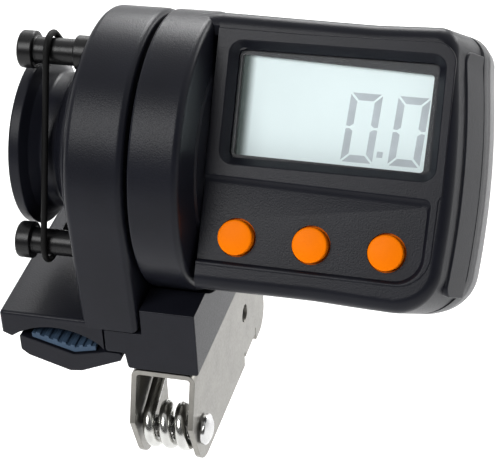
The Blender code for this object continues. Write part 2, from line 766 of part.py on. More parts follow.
def channel_section():
    """Return the folded sheet's section in the (x, z) plane."""
    top = channel_top()
    bottom = PLATE_BOTTOM - OVERRUN
    inner = BEND_RADIUS - SHEET
    points = [(CHANNEL_LEFT, bottom)]
    points += arc((CHANNEL_LEFT + BEND_RADIUS, top - BEND_RADIUS), BEND_RADIUS, 180, 90, CORNER_STEPS)
    points += arc((CHANNEL_RIGHT - BEND_RADIUS, top - BEND_RADIUS), BEND_RADIUS, 90, 0, CORNER_STEPS)
    points += [(CHANNEL_RIGHT, bottom), (CHANNEL_RIGHT - SHEET, bottom)]
    points += arc((CHANNEL_RIGHT - BEND_RADIUS, top - BEND_RADIUS), inner, 0, 90, CORNER_STEPS)
    points += arc((CHANNEL_LEFT + BEND_RADIUS, top - BEND_RADIUS), inner, 90, 180, CORNER_STEPS)
    points += [(CHANNEL_LEFT + SHEET, bottom)]
    return points


def plate_outline():
    """Return the side plates' outline in the (y, z) plane, from the web down and round."""
    top = channel_top()
    chin = (CHIN_CENTRE_Y, PLATE_BOTTOM + CHIN_RADIUS)
    heel = (PLATE_REAR - HEEL_RADIUS, PLATE_BOTTOM + HEEL_RADIUS)
    points = [(CHANNEL_FRONT, top + OVERRUN), (CHANNEL_FRONT, top - BEND_RADIUS), (NOSE_Y, NOSE_Z)]
    points += arc(chin, CHIN_RADIUS, CHIN_START, 270, CORNER_STEPS)
    points += arc(heel, HEEL_RADIUS, 270, 360, CORNER_STEPS)
    points += [(PLATE_REAR, top + OVERRUN)]
    return points


def build_channel():
    """Folded steel channel with the jaw window, the spring tab and the pin holes."""
    channel = prism("clamp_channel", channel_section(), NOSE_Y - OVERRUN, PLATE_REAR + OVERRUN, "Y", BASE, STEEL)
    outline = prism("channel_side_view", plate_outline(), CHANNEL_LEFT - OVERRUN, CHANNEL_RIGHT + OVERRUN, "X", BASE)
    combine(channel, [outline], "INTERSECT")
    left_in = CHANNEL_LEFT + SHEET
    right_in = CHANNEL_RIGHT - SHEET
    window = box("jaw_window", (CHANNEL_LEFT - OVERRUN, WINDOW_FRONT, PLATE_BOTTOM - OVERRUN),
                 (left_in + OVERRUN, WINDOW_REAR, arm_top() + GAP / 2), BASE)
    raised_edge = box("tab_clearance", (left_in + OVERRUN, TAB_FRONT - SLIT, PLATE_BOTTOM - OVERRUN),
                      (CHANNEL_RIGHT + OVERRUN, TAB_REAR + SLIT, PLATE_BOTTOM + TAB_RISE), BASE)
    slits = [box("tab_slit", (left_in + OVERRUN, y, PLATE_BOTTOM), (CHANNEL_RIGHT + OVERRUN, y + SLIT,
                 PLATE_BOTTOM + TAB_RISE + SLIT_RISE), BASE) for y in (TAB_FRONT - SLIT, TAB_REAR)]
    pivot_hole = cylinder("pivot_hole", PIVOT_PIN_RADIUS + GAP, CHANNEL_LEFT - OVERRUN, CHANNEL_RIGHT + OVERRUN, "X",
                          BASE, location=(0, PIVOT_Y, PIVOT_Z))
    pin_hole = cylinder("spring_pin_hole", SPRING_PIN_RADIUS + GAP, CHANNEL_LEFT - OVERRUN, CHANNEL_RIGHT + OVERRUN,
                        "X", BASE, location=(0, SPRING_PIN_Y, SPRING_PIN_Z))
    cut(channel, window, raised_edge, pivot_hole, pin_hole)
    for y in CHANNEL_SCREW_YS:
        hole = cylinder("channel_screw_way", SCREW_SHAFT + GAP, channel_top() - SHEET - OVERRUN,
                        channel_top() + OVERRUN, "Z", BASE, location=(CHANNEL_SCREW_X, y, 0), sides=SMALL_SIDES)
        cut(channel, hole)
    tab = box("spring_tab", (right_in - TAB_REACH, TAB_FRONT, PLATE_BOTTOM + TAB_RISE),
              (CHANNEL_RIGHT - SHEET / 2, TAB_REAR, PLATE_BOTTOM + TAB_RISE + SHEET), BASE)
    join(channel, tab)
    cut(channel, *slits)
    smooth(channel, 30)


def arm_top():
    """Return the height of the jaw lever's top face, just under the channel's web."""
    return channel_top() - SHEET - GAP


def build_pins():
    """Spring pin with a domed head and the sunk pivot pin."""
    head_start = CHANNEL_RIGHT + GAP
    head_end = head_start + SPRING_PIN_HEAD
    rivet_start = CHANNEL_LEFT - GAP
    profile = [(0, head_end + SPRING_PIN_DOME), (SPRING_PIN_HEAD_RADIUS / 2, head_end + SPRING_PIN_DOME * DOME_SHARE),
               (SPRING_PIN_HEAD_RADIUS, head_end), (SPRING_PIN_HEAD_RADIUS, head_start),
               (SPRING_PIN_RADIUS, head_start), (SPRING_PIN_RADIUS, rivet_start), (RIVET_RADIUS, rivet_start),
               (RIVET_RADIUS, rivet_start - RIVET), (0, rivet_start - RIVET)]
    turned("spring_pin", profile, "X", BASE, BRIGHT_STEEL, (0, SPRING_PIN_Y, SPRING_PIN_Z))
    cylinder("pivot_pin", PIVOT_PIN_RADIUS, CHANNEL_LEFT + PIVOT_PIN_SINK, CHANNEL_RIGHT - PIVOT_PIN_SINK, "X", BASE,
             STEEL, (0, PIVOT_Y, PIVOT_Z))


DOME_SHARE = 0.8


def spring_route():
    """Return the torsion spring's centre line, from the lever's foot to the tab, in the axle frame."""
    rise = math.radians(LEG_RISE)
    centre = Vector((0, SPRING_PIN_Y, SPRING_PIN_Z))
    start = 90.0 + LEG_RISE
    foot_z = arm_top() - ARM_SHEET - GAP - WIRE_RADIUS

    def on_coil(angle):
        turn = math.radians(angle)
        x = COIL_START_X + COIL_PITCH * (angle - start) / 360.0
        return centre + Vector((x, COIL_RADIUS * math.cos(turn), COIL_RADIUS * math.sin(turn)))

    first = on_coil(start)
    heel_y = first.y + (foot_z - first.z) / math.tan(rise)
    heel = Vector((first.x, heel_y, foot_z))
    route = [Vector((first.x, heel_y + LEG_FOOT, foot_z)), Vector((first.x, heel_y + WIRE_RADIUS, foot_z))]
    for step in range(LEG_POINTS):
        route.append(heel.lerp(first, (step + 1) / (LEG_POINTS + 1)))
    turns = (COIL_END_TURN - start) / 360.0
    count = round(turns * COIL_POINTS)
    for step in range(count + 1):
        route.append(on_coil(start + 360.0 * turns * step / count))
    last = route[-1]
    tab_rest = PLATE_BOTTOM + TAB_RISE + SHEET + GAP + WIRE_RADIUS
    end = Vector((last.x, REACTION_LEG_END, tab_rest))
    for step in range(LEG_POINTS):
        route.append(last.lerp(end, (step + 1) / LEG_POINTS))
    return route


def least_gap(route, radius):
    """Return the smallest clear distance between stretches of a wire that aren't neighbours."""
    dense = []
    for first, second in zip(route, route[1:]):
        dense += [first.lerp(second, share / 4) for share in range(4)]
    lengths = [0.0]
    for first, second in zip(dense, dense[1:]):
        lengths.append(lengths[-1] + (second - first).length)
    least = BIG
    for index, point in enumerate(dense):
        for other in range(index + 1, len(dense)):
            if lengths[other] - lengths[index] > NEIGHBOUR_TURNS * math.pi * COIL_RADIUS:
                least = min(least, (dense[other] - point).length - 2 * radius)
    return least


NEIGHBOUR_TURNS = 1.2


def build_spring():
    """Torsion spring as one unbroken tube along its route."""
    route = spring_route()
    print("torsion_spring least gap to itself, mm: %.3f" % (least_gap(route, WIRE_RADIUS) * 1000))
    curve = bpy.data.curves.new("torsion_spring", "CURVE")
    curve.dimensions = "3D"
    curve.bevel_depth = WIRE_RADIUS
    curve.bevel_resolution = 1
    curve.use_fill_caps = True
    spline = curve.splines.new("POLY")
    spline.points.add(len(route) - 1)
    for point, place in zip(spline.points, route):
        point.co = (*place, 1)
    item = bpy.data.objects.new("torsion_spring", curve)
    item.parent = BASE
    PARTS.objects.link(item)
    curve.materials.append(make_material("torsion_spring", *BRIGHT_STEEL))


def build_jaw_lever():
    """Steel lever on the pivot pin that carries the lower jaw, with a thumb tail."""
    left = CHANNEL_LEFT + SHEET + ARM_SIDE_GAP
    right = CHANNEL_RIGHT - SHEET - ARM_SIDE_GAP
    top = arm_top() - PIVOT_Z
    bottom = top - ARM_SHEET
    front = ARM_FRONT - PIVOT_Y
    tongue_rear = TONGUE_REAR - PIVOT_Y
    outline = [(TONGUE_LEFT, front), (right, front), (right, 0), (left, 0), (left, tongue_rear),
               (TONGUE_LEFT, tongue_rear)]
    lever = prism("jaw_lever", outline, bottom, top, "Z", JAW, STEEL)
    ear_outline = [(EAR_FRONT - PIVOT_Y, top - ARM_SHEET / 2), (-ARM_SHEET / 2, top - ARM_SHEET / 2)]
    ear_outline += arc((0, 0), EAR_RADIUS, EAR_TURN_START, EAR_TURN_END, ROUND_SIDES // 2)
    left_ear = prism("left_ear", ear_outline, left, left + EAR_SHEET, "X", JAW)
    right_ear = prism("right_ear", ear_outline, right - EAR_SHEET, right, "X", JAW)
    start = Vector((TAIL_START_Y - PIVOT_Y, TAIL_START_Z - PIVOT_Z))
    end = Vector((TAIL_END_Y - PIVOT_Y, TAIL_END_Z - PIVOT_Z))
    tip = end + Vector((TAIL_TIP_REACH, -TAIL_TIP_DROP))
    down = Vector((0, -TAIL_SHEET))
    tail_outline = [tuple(start), tuple(start + down), tuple(end + down), tuple(tip + down / 2),
                    tuple(tip + Vector((TAIL_SHEET, 0))), tuple(end + Vector((TAIL_SHEET / 2, 0)))]
    tail = prism("thumb_tail", tail_outline, left, right, "X", JAW)
    join(lever, left_ear, right_ear, tail)
    bore = cylinder("lever_bore", PIVOT_PIN_RADIUS + CLOSE_GAP, left - OVERRUN, right + OVERRUN, "X", JAW)
    cut(lever, bore)
    for x in JAW_SCREW_XS:
        hole = cylinder("jaw_screw_way", SCREW_SHAFT + GAP, bottom - OVERRUN, top + OVERRUN, "Z", JAW,
                        location=(x, jaw_screw_y() - PIVOT_Y, 0), sides=SMALL_SIDES)
        cut(lever, hole)
    smooth(lever, 30)


def jaw_screw_y():
    """Return the jaw screws' place along the rod."""
    return (ARM_FRONT + TONGUE_REAR) / 2


def jaw_valley_height(x):
    """Return the height of the lower jaw's hollow at x."""
    if x < JAW_VALLEY_X:
        share = (x - JAW_LIP_X) / (JAW_VALLEY_X - JAW_LIP_X)
        return JAW_LIP_Z + share * (JAW_VALLEY_Z - JAW_LIP_Z)
    share = (x - JAW_VALLEY_X) / (JAW_SHELF_X - JAW_VALLEY_X)
    return JAW_VALLEY_Z + share * (JAW_RIGHT_TOP - JAW_VALLEY_Z)


def in_jaw_frame(points):
    """Return (x, z) points lowered from the axle frame to the jaw's frame."""
    return [(x, z - PIVOT_Z) for x, z in points]


def build_lower_jaw():
    """Plastic lower jaw with a V-shaped hollow, screwed to the lever's tongue."""
    outline = [(JAW_LEFT, JAW_TIP_TOP), (JAW_LEFT, JAW_TIP_BOTTOM), (JAW_CHIN_X, JAW_CHIN_Z),
               (JAW_KEEL_LEFT_X, JAW_KEEL_LEFT_Z), (JAW_KEEL_RIGHT_X, JAW_KEEL_RIGHT_Z),
               (JAW_RIGHT, JAW_RIGHT_BOTTOM), (JAW_RIGHT, JAW_RIGHT_TOP), (JAW_SHELF_X, JAW_RIGHT_TOP),
               (JAW_VALLEY_X, JAW_VALLEY_Z), (JAW_LIP_X, JAW_LIP_Z)]
    front = -HALF_LENGTH - PIVOT_Y
    jaw = prism("lower_jaw", in_jaw_frame(outline), front, JAW_REAR - PIVOT_Y, "Y", JAW, BLACK_PLASTIC)
    soften(jaw, JAW_EDGE, 1)
    bottom = arm_top() + GAP - PIVOT_Z
    boss = box("jaw_boss", (JAW_BOSS_LEFT, ARM_FRONT - PIVOT_Y, bottom),
               (JAW_BOSS_RIGHT, TONGUE_REAR - PIVOT_Y, JAW_BOSS_TOP - PIVOT_Z), JAW)
    join(jaw, boss)
    seat = arm_top() - ARM_SHEET - GAP - PIVOT_Z
    for index, x in enumerate(JAW_SCREW_XS):
        place = (x, jaw_screw_y() - PIVOT_Y, 0)
        hole = cylinder("jaw_screw_hole", SCREW_SHAFT + GAP, bottom - OVERRUN, seat + JAW_SCREW_LENGTH + GAP, "Z",
                        JAW, location=place, sides=SMALL_SIDES)
        cut(jaw, hole)
        screw("jaw_screw_%d" % (index + 1), "Z", 1, seat, place, JAW_SCREW_LENGTH, JAW, head=JAW_SCREW_HEAD)
    smooth(jaw, 30)


JAW_SCREW_HEAD = 0.0016


def build_lower_pad():
    """Rubber pad lying in the jaw's hollow, with ribs along the rod."""
    below = [(x, jaw_valley_height(x) + GAP) for x in (LOWER_PAD_LEFT, JAW_VALLEY_X, LOWER_PAD_RIGHT)]
    above = []
    width = (LOWER_PAD_RIGHT - LOWER_PAD_LEFT) / (2 * RIB_COUNT + 1)
    for index in range(2 * RIB_COUNT + 1):
        rise = LOWER_PAD_THICKNESS + (RIB_HEIGHT if index % 2 else 0)
        for edge in (index, index + 1):
            x = LOWER_PAD_LEFT + width * edge
            above.append((x, jaw_valley_height(x) + GAP + rise))
    outline = below + above[::-1]
    pad = prism("lower_pad", in_jaw_frame(outline), LOWER_PAD_FRONT - PIVOT_Y, LOWER_PAD_REAR - PIVOT_Y, "Y", JAW,
                BLUE_RUBBER)
    return pad


def build_posts():
    """Two turned guide posts that hold the rubber line band."""
    shoulder = post_shoulder()
    for name, y, z, boss in post_places():
        profile = [(0, shoulder + POST_TENON), (POST_TENON_RADIUS, shoulder + POST_TENON),
                   (POST_TENON_RADIUS, shoulder)]
        if boss:
            profile += [(POST_BOSS_RADIUS, shoulder), (POST_BOSS_RADIUS, POST_BOSS_END),
                        (POST_RADIUS, POST_BOSS_END)]
        else:
            profile += [(POST_RADIUS, shoulder)]
        profile += [(POST_RADIUS, POST_NECK), (POST_HEAD_RADIUS, POST_NECK),
                    (POST_HEAD_RADIUS, POST_TIP + POST_HEAD_EDGE), (POST_HEAD_RADIUS - POST_HEAD_EDGE, POST_TIP),
                    (0, POST_TIP)]
        turned(name, profile, "X", BASE, SATIN_PLASTIC, (0, y, z), sides=POST_SIDES)


def build_line_band():
    """Rubber ring looped round both posts and the back of the wheel's groove."""
    reach = GAP + BAND_CORD_RADIUS
    rounds = [(Vector((POST_TOP_Y, POST_TOP_Z)), POST_RADIUS + reach),
              (Vector((POST_BOTTOM_Y, POST_BOTTOM_Z)), POST_RADIUS + reach),
              (Vector((0, 0)), GROOVE_RADIUS + reach)]
    curve = bpy.data.curves.new("line_band", "CURVE")
    curve.dimensions = "3D"
    curve.bevel_depth = BAND_CORD_RADIUS
    curve.bevel_resolution = 1
    spline = curve.splines.new("POLY")
    spline.points.add(BAND_STEPS - 1)
    for step, point in enumerate(spline.points):
        angle = 2 * math.pi * step / BAND_STEPS
        way = Vector((math.cos(angle), math.sin(angle)))
        centre, radius = max(rounds, key=lambda item: item[0].dot(way) + item[1])
        place = centre + way * radius / math.cos(math.pi / BAND_STEPS)
        point.co = (BAND_X, place.x, place.y, 1)
    spline.use_cyclic_u = True
    item = bpy.data.objects.new("line_band", curve)
    item.parent = BASE
    PARTS.objects.link(item)
    curve.materials.append(make_material("line_band", *BLACK_RUBBER))


def build_wheel():
    """Counting wheel with its line groove, bushes, magnets, cap, axle and clip."""
    rim_in = WHEEL_OUTER + WHEEL_RIM
    right_in = WHEEL_RIGHT - WHEEL_RIGHT_FLANGE
    profile = [(WHEEL_BORE, WHEEL_HUB_RIGHT), (WHEEL_HUB_NOSE_RADIUS, WHEEL_HUB_RIGHT),
               (WHEEL_HUB_NOSE_RADIUS, WHEEL_RIGHT), (WHEEL_RIGHT_FLANGE_RADIUS, WHEEL_RIGHT),
               (WHEEL_RIGHT_FLANGE_RADIUS, right_in), (WHEEL_FLANGE_RADIUS, right_in - WHEEL_RIGHT_FLANGE),
               (GROOVE_RADIUS, GROOVE_RIGHT), (GROOVE_RADIUS, GROOVE_LEFT),
               (GROOVE_RADIUS + WHEEL_RIGHT_FLANGE, rim_in + WHEEL_RIM / 2), (WHEEL_FLANGE_RADIUS, rim_in),
               (WHEEL_FLANGE_RADIUS, WHEEL_OUTER), (CAP_RADIUS + GAP, WHEEL_OUTER), (CAP_RADIUS + GAP, CAP_SEAT),
               (WHEEL_BELL_RADIUS, CAP_SEAT), (WHEEL_BELL_RADIUS, WHEEL_BELL_DEPTH),
               (WHEEL_HUB_RADIUS, WHEEL_BELL_DEPTH), (WHEEL_HUB_RADIUS, WHEEL_HUB_LEFT),
               (WHEEL_BORE, WHEEL_HUB_LEFT)]
    wheel = turned("counting_wheel", profile, "X", WHEEL, BLACK_PLASTIC, closed=True, sides=WHEEL_SIDES)
    for index, side in enumerate((-1, 1)):
        place = (0, side * MAGNET_CIRCLE, 0)
        pocket = cylinder("magnet_pocket", MAGNET_RADIUS + GAP, WHEEL_RIGHT - MAGNET_LENGTH - 2 * GAP,
                          WHEEL_RIGHT + OVERRUN, "X", WHEEL, location=place, sides=SMALL_SIDES)
        cut(wheel, pocket)
        cylinder("wheel_magnet_%d" % (index + 1), MAGNET_RADIUS, WHEEL_RIGHT - GAP - MAGNET_LENGTH, WHEEL_RIGHT - GAP,
                 "X", WHEEL, MAGNET_GREY, place, SMALL_SIDES)
    smooth(wheel, 30)
    cap_high = CAP_SEAT - GAP
    cylinder("wheel_cap", CAP_RADIUS, cap_high - CAP_THICKNESS, cap_high, "X", WHEEL, SATIN_PLASTIC)
    for name, low in (("left_bush", WHEEL_HUB_LEFT), ("right_bush", WHEEL_HUB_RIGHT - BUSH_LENGTH)):
        tube(name, BUSH_BORE, BUSH_RADIUS, low, low + BUSH_LENGTH, "X", WHEEL, BRONZE, sides=SMALL_SIDES)
    groove_low = WHEEL_HUB_LEFT - GAP - CLIP_THICKNESS
    groove_radius = AXLE_RADIUS * CLIP_GROOVE_SHARE
    axle_profile = [(0, axle_end()), (AXLE_RADIUS, axle_end()), (AXLE_RADIUS, WHEEL_HUB_LEFT),
                    (groove_radius, WHEEL_HUB_LEFT), (groove_radius, groove_low - GAP), (AXLE_RADIUS, groove_low - GAP),
                    (AXLE_RADIUS, AXLE_LEFT), (0, AXLE_LEFT)]
    turned("axle", axle_profile, "X", BASE, BRIGHT_STEEL, sides=SMALL_SIDES)
    tube("axle_clip", groove_radius + CLOSE_GAP, CLIP_RADIUS, groove_low, groove_low + CLIP_THICKNESS, "X", BASE,
         BRIGHT_STEEL, sides=SMALL_SIDES)
    washer_low = WHEEL_HUB_RIGHT + GAP
    tube("thrust_washer", AXLE_RADIUS + GAP, THRUST_RADIUS, washer_low, washer_low + THRUST_THICKNESS, "X", BASE,
         WHITE_PLASTIC, sides=SMALL_SIDES)


CLIP_GROOVE_SHARE = 0.6


def build_swivel():
    """Friction ring, washer and clip of the display's swivel, and the wheel's sensors."""
    middle = (RING_RIGHT + DRUM_LEFT) / 2
    tube("friction_ring", FRICTION_INNER, FRICTION_OUTER, middle - FRICTION_THICKNESS / 2,
         middle + FRICTION_THICKNESS / 2, "X", BASE, BLACK_RUBBER, sides=ROUND_SIDES)
    washer_low = DRUM_LEFT + DRUM_WALL + GAP
    tube("swivel_washer", SPIGOT_RADIUS + GAP, SWIVEL_WASHER_RADIUS, washer_low, washer_low + SWIVEL_WASHER, "X",
         BASE, BRIGHT_STEEL, sides=ROUND_SIDES)
    clip_low = swivel_clip_low()
    clip = tube("swivel_clip", SPIGOT_RADIUS - CLIP_GROOVE_DEPTH + GAP, SWIVEL_CLIP_RADIUS, clip_low,
                clip_low + SWIVEL_CLIP, "X", BASE, BRIGHT_STEEL, sides=ROUND_SIDES)
    mouth = box("clip_mouth", (clip_low - OVERRUN, -CLIP_MOUTH / 2, 0),
                (clip_low + SWIVEL_CLIP + OVERRUN, CLIP_MOUTH / 2, SWIVEL_CLIP_RADIUS + OVERRUN), BASE)
    cut(clip, mouth)
    board_low = WEB_RIGHT + GAP
    board = tube("sensor_board", SENSOR_BOARD_BORE, SENSOR_BOARD_RADIUS, board_low, board_low + SENSOR_BOARD, "X",
                 BASE, BOARD_GREEN, sides=ROUND_SIDES)
    lower_half = box("board_cut", (board_low - OVERRUN, -SENSOR_BOARD_RADIUS - OVERRUN, -SENSOR_BOARD_RADIUS - OVERRUN),
                     (board_low + SENSOR_BOARD + OVERRUN, SENSOR_BOARD_RADIUS + OVERRUN, BOARD_CUT_HEIGHT), BASE)
    cut(board, lower_half)
    for index, side in enumerate((-1, 1)):
        angle = math.radians(90 + side * SENSOR_SPREAD)
        y = MAGNET_CIRCLE * math.cos(angle)
        z = MAGNET_CIRCLE * math.sin(angle)
        low = board_low + SENSOR_BOARD + GAP
        half = SENSOR_WIDTH / 2
        box("wheel_sensor_%d" % (index + 1), (low, y - half, z - half), (low + SENSOR_HEIGHT, y + half, z + half),
            BASE, SATIN_PLASTIC)


CLIP_MOUTH = 0.0050
BOARD_CUT_HEIGHT = 0.0020


def case_blank(name, inset, front, back, finish=None, lead=0):
    """Return the display case's outer form, or an inset one for its hollow, longer on the left by a lead."""
    outline = rounded_rectangle(CASE_LEFT + inset - lead, CASE_RIGHT - inset, -CASE_HALF_HEIGHT + inset,
                                CASE_HALF_HEIGHT - inset, CASE_CORNER - inset)
    return prism(name, outline, front, back, "Y", HEAD, finish)


def lean_side(item):
    """Lean a case blank's right side in towards the front."""
    slope = SIDE_SET_BACK / (SIDE_FULL_Y - CASE_FRONT)
    work = bmesh.new()
    work.from_mesh(item.data)
    everything = list(work.verts) + list(work.edges) + list(work.faces)
    bmesh.ops.bisect_plane(work, geom=everything, plane_co=(0, SIDE_FULL_Y, 0), plane_no=(0, 1, 0))
    for vert in work.verts:
        if vert.co.x > CASE_RIGHT - CASE_CORNER - WELD and vert.co.y < SIDE_FULL_Y:
            vert.co.x -= slope * (SIDE_FULL_Y - vert.co.y)
    work.to_mesh(item.data)
    work.free()
    return item


def screw_places():
    """Return the case screws' (x, w) places."""
    left = CASE_LEFT + CASE_SCREW_INSET_X
    right = CASE_RIGHT - CASE_SCREW_RIGHT_INSET
    between_buttons = (BUTTON_XS[0] + BUTTON_XS[1]) / 2
    return [(left, CASE_SCREW_W), (between_buttons, -CASE_SCREW_W), (right, -CASE_SCREW_W), (right, CASE_SCREW_W)]


def recess_outline(flare):
    """Return the display recess's outline, widened by a flare."""
    return rounded_rectangle(LENS_LEFT - flare, LENS_RIGHT + flare, LENS_BOTTOM - flare, LENS_TOP + flare,
                             RECESS_CORNER + flare)


RECESS_CORNER = 0.0012


def lens_front():
    """Return the depth of the display lens's front face."""
    return CASE_FRONT + LENS_SETBACK


def ledge_front():
    """Return the depth of the ledge behind the lens."""
    return lens_front() + LENS_THICKNESS + GAP


def recess_cutter(name):
    """Return the tapered recess in front of the lens."""
    cutter = prism(name, recess_outline(0), CASE_FRONT - OVERRUN, lens_front(), "Y", HEAD)
    work = bmesh.new()
    work.from_mesh(cutter.data)
    slope = RECESS_FLARE / LENS_SETBACK
    centre = Vector(((LENS_LEFT + LENS_RIGHT) / 2, 0, (LENS_BOTTOM + LENS_TOP) / 2))
    half_x = (LENS_RIGHT - LENS_LEFT) / 2
    half_w = (LENS_TOP - LENS_BOTTOM) / 2
    spread = (LENS_SETBACK + OVERRUN) * slope
    front = [vert for vert in work.verts if vert.co.y < CASE_FRONT]
    scale = ((half_x + spread) / half_x, 1, (half_w + spread) / half_w)
    bmesh.ops.scale(work, vec=scale, space=Matrix.Translation(-centre), verts=front)
    work.to_mesh(cutter.data)
    work.free()
    return cutter


def build_front_case():
    """Front shell of the display with the swivel drum, lens recess and button panel."""
    drum_profile = [(0, DRUM_RIGHT), (DRUM_SHOULDER_RADIUS, DRUM_RIGHT)]
    shoulder = (DRUM_SHOULDER_X, DRUM_SHOULDER_RADIUS)
    width = DRUM_RIGHT - DRUM_SHOULDER_X
    height = DRUM_RADIUS - DRUM_SHOULDER_RADIUS
    for step in range(1, CORNER_STEPS + 1):
        angle = math.radians(90 * step / CORNER_STEPS)
        drum_profile.append((shoulder[1] + height * math.sin(angle), shoulder[0] + width * math.cos(angle)))
    drum_profile += [(DRUM_RADIUS, DRUM_LEFT + DRUM_EDGE), (DRUM_RADIUS - DRUM_EDGE, DRUM_LEFT), (0, DRUM_LEFT)]
    case = turned("front_case", drum_profile, "X", HEAD, BLACK_PLASTIC, sides=DRUM_SIDES)
    lead = CASE_CORNER + OVERRUN
    front = lean_side(case_blank("front_blank", 0, CASE_FRONT, -CASE_FRONT, lead=lead))
    soften(front, CASE_EDGE)
    low = -CASE_HALF_HEIGHT - OVERRUN
    high = CASE_HALF_HEIGHT + OVERRUN
    back_cut = box("front_trim", (CASE_LEFT - lead - OVERRUN, PARTING_FRONT, low),
                   (CASE_RIGHT + OVERRUN, -CASE_FRONT + OVERRUN, high), HEAD)
    left_cut = box("front_left_trim", (CASE_LEFT - lead - OVERRUN, CASE_FRONT - OVERRUN, low),
                   (CASE_LEFT, PARTING_FRONT + OVERRUN, high), HEAD)
    cut(front, back_cut, left_cut)
    neck_half = min(CASE_HALF_HEIGHT, DRUM_RADIUS) * NECK_HALF_SHARE
    neck = box("drum_neck", (DRUM_SHOULDER_X, CASE_FRONT + NECK_SET_BACK, -neck_half),
               (CASE_LEFT + CASE_WALL / 2, PARTING_FRONT - NECK_INSET, neck_half), HEAD)
    join(case, front, neck)
    hollow = lean_side(case_blank("front_hollow", CASE_WALL, CASE_FRONT + CASE_WALL, PARTING_FRONT + OVERRUN))
    drum_hollow_profile = ((0, DRUM_RIGHT - DRUM_WALL), (DRUM_SHOULDER_RADIUS - DRUM_WALL, DRUM_RIGHT - DRUM_WALL),
                           (DRUM_RADIUS - DRUM_WALL, DRUM_SHOULDER_X), (DRUM_RADIUS - DRUM_WALL, DRUM_LEFT + DRUM_WALL),
                           (0, DRUM_LEFT + DRUM_WALL))
    drum_hollow = turned("drum_hollow", drum_hollow_profile, "X", HEAD, sides=DRUM_SIDES)
    bore = cylinder("drum_bore", SPIGOT_RADIUS + CLOSE_GAP, DRUM_LEFT - OVERRUN, DRUM_LEFT + DRUM_WALL + OVERRUN, "X",
                    HEAD)
    wire_way = box("wire_way", (DRUM_RIGHT - DRUM_WALL - OVERRUN, -WIRE_WAY_HALF_DEPTH, -WIRE_WAY_HALF_HEIGHT),
                   (CASE_LEFT + CASE_WALL + OVERRUN, WIRE_WAY_HALF_DEPTH, WIRE_WAY_HALF_HEIGHT), HEAD)
    cut(case, hollow, drum_hollow, bore, wire_way)
    backing = box("lens_backing", (LENS_LEFT - BEZEL_WALL, CASE_FRONT + CASE_WALL / 2, LENS_BOTTOM - BEZEL_WALL),
                  (LENS_RIGHT + BEZEL_WALL, ledge_front() + LEDGE_THICKNESS, LENS_TOP + BEZEL_WALL), HEAD)
    join(case, backing)
    lens_pocket = prism("lens_pocket", recess_outline(0), lens_front() - GAP, ledge_front(), "Y", HEAD)
    aperture = box("display_aperture", (LENS_LEFT + LEDGE_WIDTH, lens_front(), LENS_BOTTOM + LEDGE_WIDTH),
                   (LENS_RIGHT - LEDGE_WIDTH, ledge_front() + LEDGE_THICKNESS + OVERRUN, LENS_TOP - LEDGE_WIDTH),
                   HEAD)
    panel_outline = [(PANEL_LEFT, PANEL_TOP), (PANEL_LEFT, PANEL_BOTTOM)]
    panel_outline += arc((PANEL_RIGHT - PANEL_CORNER, PANEL_BOTTOM + PANEL_CORNER), PANEL_CORNER, 270, 360,
                         CORNER_STEPS)
    panel_outline.append((PANEL_RIGHT, PANEL_TOP))
    panel = prism("button_panel_step", panel_outline, CASE_FRONT - OVERRUN, CASE_FRONT + PANEL_DEPTH, "Y", HEAD)
    cut(case, recess_cutter("display_recess"), lens_pocket, aperture, panel)
    for x in BUTTON_XS:
        hole = cylinder("button_hole", BUTTON_HOLE, CASE_FRONT - OVERRUN, CASE_FRONT + CASE_WALL + OVERRUN, "Y", HEAD,
                        location=(x, 0, BUTTON_W))
        cut(case, hole)
    for x, w in screw_places():
        post = cylinder("front_post", FRONT_POST_RADIUS, CASE_FRONT + CASE_WALL * FRONT_POST_SINK_SHARE,
                        PARTING_FRONT - POST_SET_BACK, "Y", HEAD, location=(x, 0, w), sides=SMALL_SIDES)
        join(case, post)
    for x, w in screw_places():
        pilot = cylinder("front_pilot", SCREW_SHAFT + GAP, case_screw_tip() - GAP, PARTING_FRONT + OVERRUN, "Y",
                         HEAD, location=(x, 0, w), sides=SMALL_SIDES)
        cut(case, pilot)
    smooth(case, 30)


def case_screw_seat():
    """Return the depth at which the case screws' heads bear."""
    return CASE_BACK - CASE_HEAD_SINK


def case_screw_tip():
    """Return the depth of the case screws' tips."""
    return case_screw_seat() - GAP - CASE_SCREW_LENGTH


